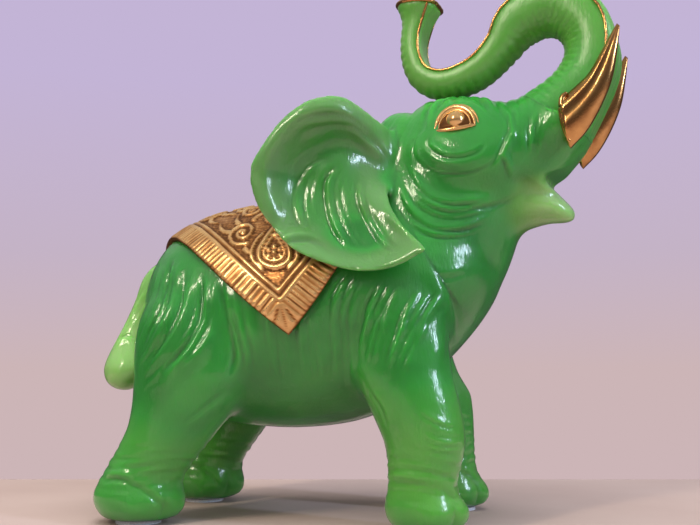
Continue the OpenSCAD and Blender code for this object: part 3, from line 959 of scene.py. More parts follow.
FOLDS = (
    # The groove ahead of the shoulder, and the strokes that fan back from it
    FoldFan("body", ((35, 52), (36, 62), (37, 72), (36, 80), (32, 88), (26, 93)), None, 1, 2.6, 1.1),
    FoldFan("body", ((1, 86), (-3, 78), (-4, 69)), ((33, 80), (29, 72), (25, 62)), 9, 1.2, 0.95),
    FoldFan("body", ((11, 75), (7, 67), (5, 57)), ((30, 70), (26, 62), (22, 52)), 6, 1.0, 0.7),
    # Knee and elbow
    FoldFan("body", ((27, 41), (33, 37), (40, 35)), ((28, 30), (34, 28), (41, 28)), 5, 0.8, 0.35),
    FoldFan("body", ((10, 48), (15, 41), (17, 34)), None, 1, 1.2, 0.5),
    # Thigh: broad folds from the rump to the back of the knee, with finer ones between
    FoldFan("body", ((-67, 96), (-66, 86), (-66, 78), (-68, 70), (-72, 61)),
            ((-46, 88), (-45, 76), (-46, 67), (-52, 57), (-65, 46)), 5, 2.0, 1.5),
    FoldFan("body", ((-73, 92), (-73, 84), (-74, 76), (-76, 69), (-79, 62)),
            ((-49, 84), (-48, 74), (-51, 64), (-59, 54), (-71, 45)), 8, 0.9, 0.4),
    FoldFan("body", ((-44, 87), (-40, 72), (-38, 63), (-38, 57), (-41, 49)),
            ((-34, 81), (-32, 70), (-30, 62), (-30, 56), (-32, 49)), 3, 1.8, 1.2),
    FoldFan("body", ((-40, 47), (-47, 41), (-56, 34)), None, 1, 1.4, 0.5),
    # Belly
    FoldFan("body", ((-27, 76), (-26, 64), (-25, 50)), ((4, 74), (4, 60), (3, 47)), 9, 1.1, 0.45),
    # Feet
    FoldFan("body", ((-86, 15), (-79, 17), (-72, 15), (-66, 11), (-61, 5)), None, 1, 1.5, 0.9),
    FoldFan("body", ((15, 17), (22, 18), (30, 17), (37, 14), (43, 6)), None, 1, 1.4, 0.7),
    # Neck and throat
    FoldFan("head", ((24, 128), (30, 117), (38, 112), (46, 112), (57, 116)),
            ((20, 118), (26, 106), (34, 100), (44, 100), (54, 105)), 5, 1.2, 0.95),
    FoldFan("head", ((25, 99), (31, 90), (39, 87), (47, 90)),
            ((29, 91), (35, 80), (41, 76), (45, 78)), 2, 1.6, 0.5),
    FoldFan("head", ((44, 109), (55, 112), (65, 117)), None, 1, 1.6, 0.9),
    # Cheek, with the forked crease ahead of it
    FoldFan("head", ((28, 139), (27, 131), (30, 126), (37, 122), (48, 122), (55, 125), (59, 132)),
            ((33, 137), (33, 132), (36, 129), (40, 127), (46, 127), (51, 129), (54, 134)), 4, 1.0, 0.8),
    FoldFan("head", ((61, 139), (59, 132), (56, 126), (53, 121)), None, 1, 1.2, 0.9),
    FoldFan("head", ((57, 128), (59, 124), (60, 119)), None, 1, 1.0, 0.7),
    # Trunk root
    FoldFan("head", ((58, 146), (60, 138), (62, 130)), ((74, 143), (71, 135), (69, 126)), 6, 0.8, 0.55),
    # Brow
    FoldFan("head", ((33, 139), (34, 146), (36, 151), (41, 153), (47, 151), (52, 146), (55, 140)), None, 1,
            1.3, 1.2),
    FoldFan("head", ((30, 138), (30, 147), (34, 154), (41, 157), (49, 154), (56, 147), (59, 140)), None, 1,
            1.0, 0.7),
    # Ear, flowing down the boss to the lobe, with a tuck low at the back
    FoldFan("ear", ((-4, 128), (-12, 125), (-17, 117), (-16, 107), (-9, 97)),
            ((-1, 126), (-6, 120), (-6, 111), (-3, 102), (4, 92)), 4, 1.4, 0.6),
    FoldFan("ear", ((-1, 126), (-6, 120), (-6, 111), (-3, 102), (4, 92)),
            ((8, 121), (8, 114), (11, 106), (17, 97), (24, 92)), 5, 1.3, 0.65),
    FoldFan("ear", ((15, 127), (10, 133), (4, 137), (-4, 137), (-11, 134), (-16, 128)),
            ((14, 130), (9, 136), (3, 140), (-5, 140), (-13, 137), (-19, 130)), 2, 1.5, 0.8),
    FoldFan("ear", ((-20, 96), (-11, 98), (-5, 96), (1, 91)), None, 1, 1.8, 0.9),
    # Tail tuft, with a lobe laid over it
    FoldFan("tail", ((-84, 48), (-84, 56), (-86, 63), (-90, 67), (-94, 65), (-97, 59)), None, 1, 1.2, 1.1),
    FoldFan("tail", ((-86, 88), (-92, 76), (-97, 64)), ((-84, 84), (-88, 76), (-93, 69)), 2, 1.0, 0.5),
)

SWELLINGS = (
    # Brow over the eye, cheek below it, the hollow behind it, and the low crown with its two domes
    Swelling("head", (42, 22, 150), (9, 8, 6), 2.0),
    Swelling("head", (42, 26, 126), (13, 10, 8), 1.4),
    Swelling("head", (25, 24, 141), (6, 8, 7), -1.3),
    Swelling("head", (21, 0, 155), (11, 22, 8), -2.2),
    Swelling("head", (14, 11, 147), (7, 8, 7), 1.5),
    Swelling("head", (28, 9, 152), (4, 7, 6), 1.0),
    Swelling("head", (22, 8, 150), (2, 14, 6), -1.4),
    # End of the trunk, out to its gilt rim
    Swelling("trunk", (22, 1.5, 195), (12, 12, 5), 0.8),
    # Flesh round the tusks
    Swelling("head", (78, 16, 138), (6, 9, 10), 4.0),
    Swelling("trunk", (82, 11, 146), (6, 8, 7), 1.2),
    # Mouth corner
    Swelling("head", (65, 18, 118), (5, 8, 3), -2.2),
    # Shoulder blade, hip and tail lobe
    Swelling("body", (17, 38, 82), (12, 12, 12), 1.6),
    Swelling("body", (-58, 40, 66), (13, 12, 16), 1.2),
    Swelling("tail", (-88, 16, 55), (5, 9, 8), 1.4),
)


@dataclass(frozen=True)
class EarLeaf:
    """One ear: a dished leaf with a rolled rim, a hollow under the roll and a boss in the middle.

    The outline runs from the root's top round the rim and back up the front edge. Its points are
    places ahead, out from the centre plane and up, in millimetres.
    """

    side: Side
    outline: tuple[Place, ...] = (
        (15, 18, 141), (10, 29, 144), (5, 37, 147), (0, 42, 148.5), (-9, 46, 146.5), (-18.5, 47, 140),
        (-26.5, 47, 130), (-30.5, 47, 122), (-28, 47, 111), (-21.5, 46, 101), (-13.5, 46, 93.5),
        (-2, 45, 88.5), (9, 45, 86), (19.5, 45, 87), (28, 45, 91), (31, 45, 93.5), (23, 40, 101.5),
        (17, 32, 111), (16, 27, 117), (16, 23, 123), (17, 19, 131))
    middle: Place = (-2, 30, 115)
    roll: Path = (
        (18, 131), (11, 138), (3, 142), (-6, 142), (-15, 137), (-22, 129), (-24, 120), (-22, 109))
    hollow: Path = (
        (13, 123), (7, 129), (1, 132), (-5, 132), (-11, 129), (-16, 123), (-18, 115), (-18, 104))
    boss: Point = (-1, 110)
    boss_reach: Point = (14, 16)
    boss_height: float = 3.6
    roll_height: float = 3.4
    roll_width: float = 4.2
    hollow_depth: float = 2.6
    hollow_width: float = 4.0
    hollow_fade: Point = (66, 34)
    curl_depth: float = 3.5
    curl_width: float = 9.0
    curl_inset: float = 6.0
    half_thickness: float = 1.9
    half_span: float = 28.0
    hub_share: float = 0.06
    edge_share: float = 0.94
    edge_round: float = 0.06
    outer_growth: float = 4.0

    def rim(self) -> np.ndarray:
        """The rim's points in millimetres, out from the centre plane whichever the side."""
        points = np.array(self.outline, float)
        return curve(np.vstack([points, points[:1]]), 6)

    def inset(self, spots: np.ndarray) -> np.ndarray:
        """How far points of the side view lie inside the rim."""
        return np.abs(off_line(spots, self.rim()[:, [0, 2]])[0])

    def forms(self, spots: np.ndarray) -> np.ndarray:
        """Works out how far the roll, the hollow, the boss and the curled edge carry the leaf.

        Args:
            spots: Points of the side view.
        Returns:
            How far each goes outward.
        """
        roll = off_line(spots, curve(np.array(self.roll, float)))[0]
        hollow, run = off_line(spots, curve(np.array(self.hollow, float)))
        boss = np.exp(-(((spots - self.boss) / self.boss_reach) ** 2).sum(1))
        curl = self.curl_depth * ease(self.inset(spots), self.curl_inset, 0) * bell(roll, 0, self.curl_width)
        deep = self.hollow_depth * bell(hollow, 0, self.hollow_width) * ease(run, *self.hollow_fade)
        return self.roll_height * bell(roll, 0, self.roll_width) - deep + self.boss_height * boss - curl

    def section(self, growth: float) -> list[Point]:
        """Draws the leaf's section from its hub out to the edge and back.

        Args:
            growth: How far the leaf is swollen.
        Returns:
            The share of the way to the rim and the height above the middle, ring by ring.
        """
        flat = [(share, 1.0) for share in np.linspace(self.hub_share, self.edge_share, 15)]
        turns = np.radians((25, 45, 65, 80))
        sheet = [*flat, *((self.edge_share + self.edge_round * math.sin(a), math.cos(a)) for a in turns)]
        inner = self.half_thickness + growth
        outer = self.half_thickness + self.outer_growth * growth
        return [*((s, -inner * h) for s, h in sheet), (1.0, 0.0), *((s, outer * h) for s, h in sheet[::-1])]

    def shape(self, growth: float = 0.0) -> bmesh.types.BMesh:
        """Builds the leaf as one closed shell.

        Args:
            growth: How far it is swollen, which counts outer_growth times on its outer face.
        Returns:
            The leaf in metres.
        """
        rim = self.rim()[:-1]
        middle = np.array(self.middle)
        rows = []
        for share, lift in self.section(growth):
            spots = middle + (rim - middle) * share * (1 + growth / self.half_span)
            spots[:, 1] = middle[1] + (rim[:, 1] - middle[1]) * share**2
            spots[:, 1] += self.forms(spots[:, [0, 2]]) + lift
            rows.append([Vector(spot) * MM for spot in spots * (1, self.side.value, 1)])
        return closed_loft(rows)


@dataclass
class Castings:
    """The green castings: body, head, trunk, ears and tail, carved as one skin and parted again.

    While the skin is grown and carved, the end of the trunk is lifted off the brow, so that the two
    don't melt together.
    """

    frame: dict
    stance: Stance
    nodes: tuple[str, ...] = ("body", "head", "trunk", "ear_right", "ear_left", "tail")
    fillers: tuple[str, ...] = ("neck_dowel", "trunk_dowel")
    parting_order: tuple[str, ...] = ("trunk", "ear_right", "ear_left", "tail", "head")
    cell: float = 0.85
    cutter_cell: float = 1.2
    cutter_growth: float = 1.5
    tail_cutter_growth: float = 2.55
    trunk_lift: float = 3.0
    lift_span: Point = (58.0, 44.0)
    casting_reach: float = 12.0
    softening: int = 30
    sole_softening: int = 40
    fillet: int = 50
    mouth_span: Point = (14, 8)
    facing_span: Point = (0.12, 0.55)
    sole_rounding: Point = (6.0, 3.0)
    sole_tuck: float = 0.15
    tuck_span: Point = (11.0, 1.0)
    lip_advance: float = 3.0
    lip_ahead: Point = (74, 88)
    lip_from: Point = (120, 138)
    lip_to: Point = (182, 156)
    lip_half_width: Point = (17, 8)
    lip_droop: Place = (1.5, 0.0, -5.0)
    droop_ahead: Point = (62, 82)
    droop_below: Point = (122.5, 119.5)
    reach: float = 60.0
    # Painted glow of light through thin resin: it fades with depth, is capped on the head, is painted
    # stronger on the lip and the tail and weaker on the ears.
    half_light: float = 10.0
    head_limit: float = 0.26
    lip_painted_glow: float = 0.8
    glow_span: Point = (24, 5)
    glow_below: Point = (122, 119)
    tail_painted_glow: float = 0.4
    ear_painted_glow: Point = (0.34, 0.4)
    ear_edge_span: Point = (13, 2)
    depth_spread: int = 60
    thin_spread: int = 20

    def __post_init__(self) -> None:
        """Grows, carves and measures the skin."""
        self.leaves = {f"ear_{side.word}": EarLeaf(side) for side in Side}
        self.trees = {name: self.tree_of(name) for name in self.nodes}
        self.skin = self.grown()
        self.names = self.nearest_casting()
        self.ears = np.array([name.startswith("ear") for name in self.names])
        self.smooth()
        self.bend_lip()
        self.skin.places = self.advanced(self.skin.places)
        self.tuck_feet()
        self.carve()
        self.whole = new_object("castings", self.skin.mesh)
        self.carved = BVHTree.FromObject(self.whole, bpy.context.evaluated_depsgraph_get())
        self.thin = self.thinness()

    def tree_of(self, name: str) -> BVHTree:
        """Makes a search tree over one casting.

        Args:
            name: The node's name.
        Returns:
            The tree, in metres.
        """
        shape = self.casting_copy(name)
        tree = BVHTree.FromBMesh(shape)
        shape.free()
        return tree

    def raised(self, ahead: float) -> float:
        """How far the trunk is raised at a forward place, in millimetres."""
        return self.trunk_lift * float(ease(np.array(ahead), *self.lift_span))

    def casting_copy(self, name: str, growth: float = 0.0) -> bmesh.types.BMesh:
        """Copies a node, with the trunk lifted off the brow and the ears drawn as full leaves.

        Args:
            name: The node's name.
            growth: How far the copy's surface is moved out.
        Returns:
            The copy.
        """
        if name in self.leaves:
            return self.leaves[name].shape(growth)
        shape = merged_copy(self.frame["nodes"][name])
        if name == "trunk":
            for vert in shape.verts:
                vert.co.z += self.raised(vert.co.x / MM) * MM
        shape.normal_update()
        for vert in shape.verts:
            vert.co += growth * MM * vert.normal
        return shape

    def grown(self) -> Skin:
        """Grows one even skin over all the castings, without inner hollows, and opens the mouth.

        Returns:
            The skin.
        """
        joined = bmesh.new()
        for name in (*self.nodes, *self.fillers):
            part = mesh_of(self.casting_copy(name), name)
            joined.from_mesh(part)
            bpy.data.meshes.remove(part)
        mesh = voxel_skin(mesh_of(joined, "castings"), self.cell)
        mouth = self.mouth_cutter()
        mesh = cut(outer_only(mesh), mouth, Cut.REST)
        discard(mouth)
        return Skin(voxel_skin(mesh, self.cell))

    def mouth_cutter(self) -> bpy.types.Object:
        """Makes a wedge across the head that opens the mouth.

        Returns:
            The wedge.
        """
        rows = []
        for across in (-self.stance.mouth_half_width, self.stance.mouth_half_width):
            spots = np.array([(ahead, across, up) for ahead, up in self.stance.mouth], float)
            rows.append([Vector(spot) * MM for spot in self.stance.from_head(spots)])
        return new_object("mouth_cutter", mesh_of(closed_loft(rows), "mouth_cutter"))

    def nearest_casting(self) -> np.ndarray:
        """Finds out which casting each vertex belongs to.

        Returns:
            The castings' names.
        """
        best = np.full(len(self.skin.places), np.inf)
        names = np.full(len(best), "body", object)
        for name, tree in self.trees.items():
            for k, place in enumerate(self.skin.places * MM):
                found = tree.find_nearest(place, min(best[k], self.casting_reach * MM))
                if found[0] is not None and found[3] < best[k]:
                    best[k] = found[3]
                    names[k] = name
        return names

    def smooth(self) -> None:
        """Takes out the cells' steps and runs fillets along the joints, less at the mouth and tip."""
        slim = np.isin(self.names, ("trunk", "tail"))
        tip = ease(self.skin.places[:, 2], *self.stance.trunk_end)
        straight = self.stance.in_head(self.skin.places)
        from_corner = np.hypot(*(straight[:, [0, 2]] - self.stance.mouth_corner).T)
        mouth = ease(from_corner, *self.mouth_span) * (self.names == "head")
        self.skin.soften(self.softening, np.where(self.ears | slim, 0.4 - 0.35 * tip, 0.9 - 0.5 * mouth))
        self.skin.soften(self.sole_softening, ease(self.skin.places[:, 2], *self.sole_rounding))
        self.skin.fill_creases(self.fillet, np.where(self.ears, 0.4, 1.0 - mouth))
        self.skin.relax(2)

    def advanced(self, places: np.ndarray) -> np.ndarray:
        """Brings the upper lip forward between the tusks.

        Args:
            places: Places in millimetres.
        Returns:
            The places, moved forward where they lie between the tusks.
        """
        straight = self.stance.in_head(places)
        front = ease(straight[:, 0], *self.lip_ahead)
        for span in (self.lip_from, self.lip_to):
            front = front * ease(straight[:, 2], *span)
        straight[:, 0] += self.lip_advance * front * ease(np.abs(straight[:, 1]), *self.lip_half_width)
        return self.stance.from_head(straight)

    def bend_lip(self) -> None:
        """Lets the tip of the lower lip droop."""
        straight = self.stance.in_head(self.skin.places)
        lip = ease(straight[:, 0], *self.droop_ahead) * ease(straight[:, 2], *self.droop_below)
        lip = lip * (self.names == "head")
        self.skin.places += lip[:, None] * np.array(self.lip_droop)

    def tuck_feet(self) -> None:
        """Draws each foot in towards its sole."""
        for ahead, across, _ in self.stance.feet:
            gap, own = self.stance.from_foot(self.skin.places, ahead, across)
            tuck = self.sole_tuck * ease(self.skin.places[:, 2], *self.tuck_span) * own
            self.skin.places[:, :2] -= tuck[:, None] * gap

    def lowered(self) -> np.ndarray:
        """Lets the trunk down to where it belongs.

        Returns:
            The skin's places in millimetres.
        """
        places = self.skin.places.copy()
        trunk = self.names == "trunk"
        places[trunk, 2] -= self.trunk_lift * ease(places[trunk, 0], *self.lift_span)
        return places

    def carve(self) -> None:
        """Moves the skin outward and inward by all the carving at once."""
        outward = self.skin.normals()
        places = self.lowered()
        moves = np.zeros(len(places))
        straight = self.stance.in_head(places)
        for fan in FOLDS:
            chosen = np.array([name.startswith(fan.casting) for name in self.names])
            spots = straight if fan.casting == "head" else places
            facing = np.where(chosen, ease(np.abs(outward[:, 1]), *self.facing_span), 0)
            if fan.casting == "ear":
                facing = np.where(outward[:, 1] * places[:, 1] > 0, facing, 0)
            moves += fan.carve(spots[:, [0, 2]], facing)
        for mass in SWELLINGS:
            chosen = self.names == mass.casting
            spots = straight if mass.casting == "head" else places
            moves[chosen] += mass.carve(spots[chosen] * (1, 0, 1) + np.abs(spots[chosen]) * (0, 1, 0))
        moves += TrunkRings().carve(straight, self.names, self.stance)
        moves += Toes().carve(places, outward, self.stance)
        self.skin.places += moves[:, None] * outward
        self.skin.store()

    def depths(self) -> np.ndarray:
        """Measures how thick the casting is behind each vertex.

        Returns:
            The thickness in millimetres, evened out over the neighbours.
        """
        outward = self.skin.normals()
        depths = np.full(len(outward), self.reach)
        for k, (place, way) in enumerate(zip(self.skin.places * MM, outward)):
            inward = Vector(-way)
            hit = self.carved.ray_cast(Vector(place) + 0.3 * MM * inward, inward, self.reach * MM)
            if hit[0] is not None:
                depths[k] = hit[3] / MM
        return self.skin.spread(depths, self.depth_spread)

    def ear_edge(self) -> np.ndarray:
        """Works out how near each vertex of an ear is to the ear's edge.

        Returns:
            Values from 0 to 1, and 1 off the ears.
        """
        near = np.ones(len(self.skin.places))
        leaf = self.leaves["ear_right"]
        near[self.ears] = ease(leaf.inset(self.skin.places[self.ears][:, [0, 2]]), *self.ear_edge_span)
        return near

    def thinness(self) -> np.ndarray:
        """Works out the painted glow of light through thin resin: capped on the head, more on the lip and
        the tail than their thickness gives, less on the ears.

        Returns:
            Values from 0 for thick to 1.
        """
        thin = 1 / (1 + self.depths() / self.half_light)
        straight = self.stance.in_head(self.lowered())
        gap = (straight - self.stance.lip_tip) * (1, 0.7, 1)
        lip = ease(np.linalg.norm(gap, axis=1), *self.glow_span) * ease(straight[:, 2], *self.glow_below)
        # The lip and the tail are painted paler, as if lit through.
        head = np.minimum(thin, self.head_limit) + self.lip_painted_glow * lip
        thin = np.where(self.names == "head", head, thin)
        thin += self.tail_painted_glow * (self.names == "tail")
        whole, edge = self.ear_painted_glow
        thin = np.where(self.ears, thin * (whole + edge * self.ear_edge()), thin)
        return self.skin.spread(thin, self.thin_spread)

    def cutter(self, name: str) -> bpy.types.Object:
        """Grows a copy of one casting a little, to cut its piece out of the skin.

        Args:
            name: The casting's name.
        Returns:
            The cutter.
        """
        growth = self.tail_cutter_growth if name == "tail" else self.cutter_growth
        shape = self.casting_copy(name, growth)
        if name == "trunk":
            spots = self.advanced(np.array([vert.co for vert in shape.verts]) / MM)
            wide = growth * ease(spots[:, 2], *self.stance.trunk_end)
            for vert, spot, more in zip(shape.verts, spots, wide):
                vert.co = (Vector(spot) + float(more) * vert.normal) * MM
        return new_object(f"{name}_cutter", voxel_skin(mesh_of(shape, name), self.cutter_cell))

    def neck_cutter(self) -> bpy.types.Object:
        """Makes a block that holds all that is ahead of the neck's glue joint.

        Returns:
            The block.
        """
        size = 0.4
        shape = bmesh.new()
        bmesh.ops.create_cube(shape, size=size)
        bmesh.ops.translate(shape, verts=shape.verts, vec=(size / 2, 0, 0))
        turn = Matrix.Rotation(-math.radians(self.stance.neck_lean), 4, "Y")
        bmesh.ops.transform(shape, verts=shape.verts, matrix=turn)
        bmesh.ops.translate(shape, verts=shape.verts, vec=Vector(self.stance.neck_face) * MM)
        return new_object("head_cutter", mesh_of(shape, "head_cutter"))

    def parted(self) -> dict[str, bpy.types.Mesh]:
        """Cuts the skin along the glue joints.

        Returns:
            One closed mesh for each casting, under its name.
        """
        rest = self.skin.mesh.copy()
        parts = {}
        for name in self.parting_order:
            cutter = self.neck_cutter() if name == "head" else self.cutter(name)
            parts[name] = cut(rest.copy(), cutter, Cut.PIECE)
            rest = cut(rest, cutter, Cut.REST)
            discard(cutter)
        parts["body"] = rest
        return {name: outer_only(part) for name, part in parts.items()}

    def reach_out(self, name: str | None, starts: np.ndarray, ways: np.ndarray) -> np.ndarray:
        """Measures from inside to a surface.

        Args:
            name: The casting, or None for the whole carved skin.
            starts: Starting places in millimetres.
            ways: The directions.
        Returns:
            The distances in millimetres.
        """
        tree = self.trees[name] if name else self.carved
        reaches = np.full(len(starts), self.reach)
        for k, (start, way) in enumerate(zip(starts * MM, ways)):
            hit = tree.ray_cast(Vector(start), Vector(way))
            if hit[0] is not None:
                reaches[k] = hit[3] / MM
        return reaches

    def buried(self, places: np.ndarray, ways: np.ndarray, margin: float) -> np.ndarray:
        """Tells which places lie inside the carved skin.

        Args:
            places: Places in millimetres.
            ways: The direction in which each would come out.
            margin: How deep a place has to lie.
        Returns:
            True for each place that does.
        """
        inside = np.zeros(len(places), bool)
        for k, (place, way) in enumerate(zip(places * MM, ways)):
            hit = self.carved.ray_cast(Vector(place), Vector(way))
            if hit[0] is not None and hit[1].dot(Vector(way)) > 0:
                inside[k] = hit[3] > margin * MM
        return inside

    def surface(self, start: Vector, way: Vector) -> Vector | None:
        """The first place on the carved skin along a line, in metres."""
        return self.carved.ray_cast(start, way)[0]

    def match_skin(self, mesh: bpy.types.Mesh, finder: KDTree, outward: np.ndarray) -> None:
        """Gives a parted piece the whole skin's painted glow of thin resin and its shading normals, so that
        no joint shows.

        Args:
            mesh: The piece's mesh.
            finder: A search tree over the skin's vertices, in metres.
            outward: The skin's outward directions.
        """
        thin = np.zeros(len(mesh.vertices))
        normals = np.zeros((len(mesh.vertices), 3))
        for k, vert in enumerate(mesh.vertices):
            found = finder.find_n(vert.co, 3)
            shares = np.array([1 / (distance + 0.001 * MM) for _, _, distance in found])
            shares /= shares.sum()
            rows = [index for _, index, _ in found]
            thin[k] = shares @ self.thin[rows]
            in_joint = found[0][2] > 0.9 * self.cell * MM
            normals[k] = vert.normal if in_joint else shares @ outward[rows]
        # The attribute thin holds the painted glow of light through thin resin.
        layer = mesh.attributes.new("thin", "FLOAT", "POINT")
        layer.data.foreach_set("value", thin.astype(np.float32))
        mesh.normals_split_custom_set_from_vertices(normals.tolist())

    def dress(self, jade: bpy.types.Material, worn: bpy.types.Material,
              milky: bpy.types.Material) -> list[bpy.types.Object]:
        """Parts the skin and puts each piece in the place of its node.

        Args:
            jade: The jade finish.
            worn: The duller finish of the trunk.
            milky: The finish of the ears.
        Returns:
            The pieces.
        """
        outward = self.skin.normals()
        finder = KDTree(len(self.skin.places))
        for k, place in enumerate(self.skin.places * MM):
            finder.insert(place, k)
        finder.balance()
        finishes = {"trunk": worn, "ear_right": milky, "ear_left": milky}
        pieces = []
        for name, mesh in self.parted().items():
            self.match_skin(mesh, finder, outward)
            if name == "trunk":
                for vert in mesh.vertices:
                    vert.co.z -= self.raised(vert.co.x / MM) * MM
            pieces.append(dressed(f"jade_{name}", mesh, finishes.get(name, jade), name))
        discard(self.whole)
        return pieces


# The gilt pieces


class Relief:
    """Ornament on a square sheet, drawn on one quarter and mirrored to all four."""

    def __init__(self, side: float, steps: int) -> None:
        """Lays out the points.

        Args:
            side: The sheet's side in millimetres.
            steps: Points along a side.
        """
        line = np.linspace(0, side, steps)
        flat = np.stack([axis.ravel() for axis in np.meshgrid(line, line, indexing="ij")], 1)
        self.steps = steps
        self.spots = np.minimum(flat, side - flat)
        self.inset = self.spots.min(1)
        self.along = self.spots.max(1)
        self.height = np.zeros(len(flat))

    def lift(self, values: np.ndarray) -> None:
        """Raises the sheet to the values where they are higher."""
        self.height = np.maximum(self.height, values)

    def cord(self, points: np.ndarray, radius: float, height: float, taper: float = 0.0) -> None:
        """Raises a rounded cord along a smooth line.

        Args:
            points: The points that the line passes.
            radius: Half the cord's width.
            height: How far it stands up.
            taper: The share of its width that it loses by its end.
        """
        line = curve(np.asarray(points, float), 6)
        low, high = line.min(0) - radius, line.max(0) + radius
        near = np.flatnonzero(((self.spots > low) & (self.spots < high)).all(1))
        signed, run = off_line(self.spots[near], line)
        length = np.hypot(*np.diff(line, axis=0).T).sum()
        across = signed / (radius * (1 - taper * run / length))
        self.height[near] = np.maximum(self.height[near], height * dome(across))

    def round_rib(self, distance: np.ndarray, radius: float, height: float) -> None:
        """Raises a half-round rib where the distance from its middle is under its radius."""
        self.lift(height * dome(distance / radius))

    def bead(self, middle: Point, radius: float, height: float) -> None:
        """Raises a round bead."""
        self.round_rib(np.hypot(*(self.spots - middle).T), radius, height)

    def blurred(self, values: np.ndarray, rounds: int) -> np.ndarray:
        """Spreads values over the grid's neighbours.

        Args:
            values: One value for each point.
            rounds: How often they are spread.
        Returns:
            The spread values.
        """
        grid = values.reshape(self.steps, self.steps)
        for _ in range(rounds):
            wide = np.pad(grid, 1, mode="edge")
            beside = wide[:-2, 1:-1] + wide[2:, 1:-1] + wide[1:-1, :-2] + wide[1:-1, 2:]
            grid = 0.5 * grid + 0.125 * beside
        return grid.ravel()


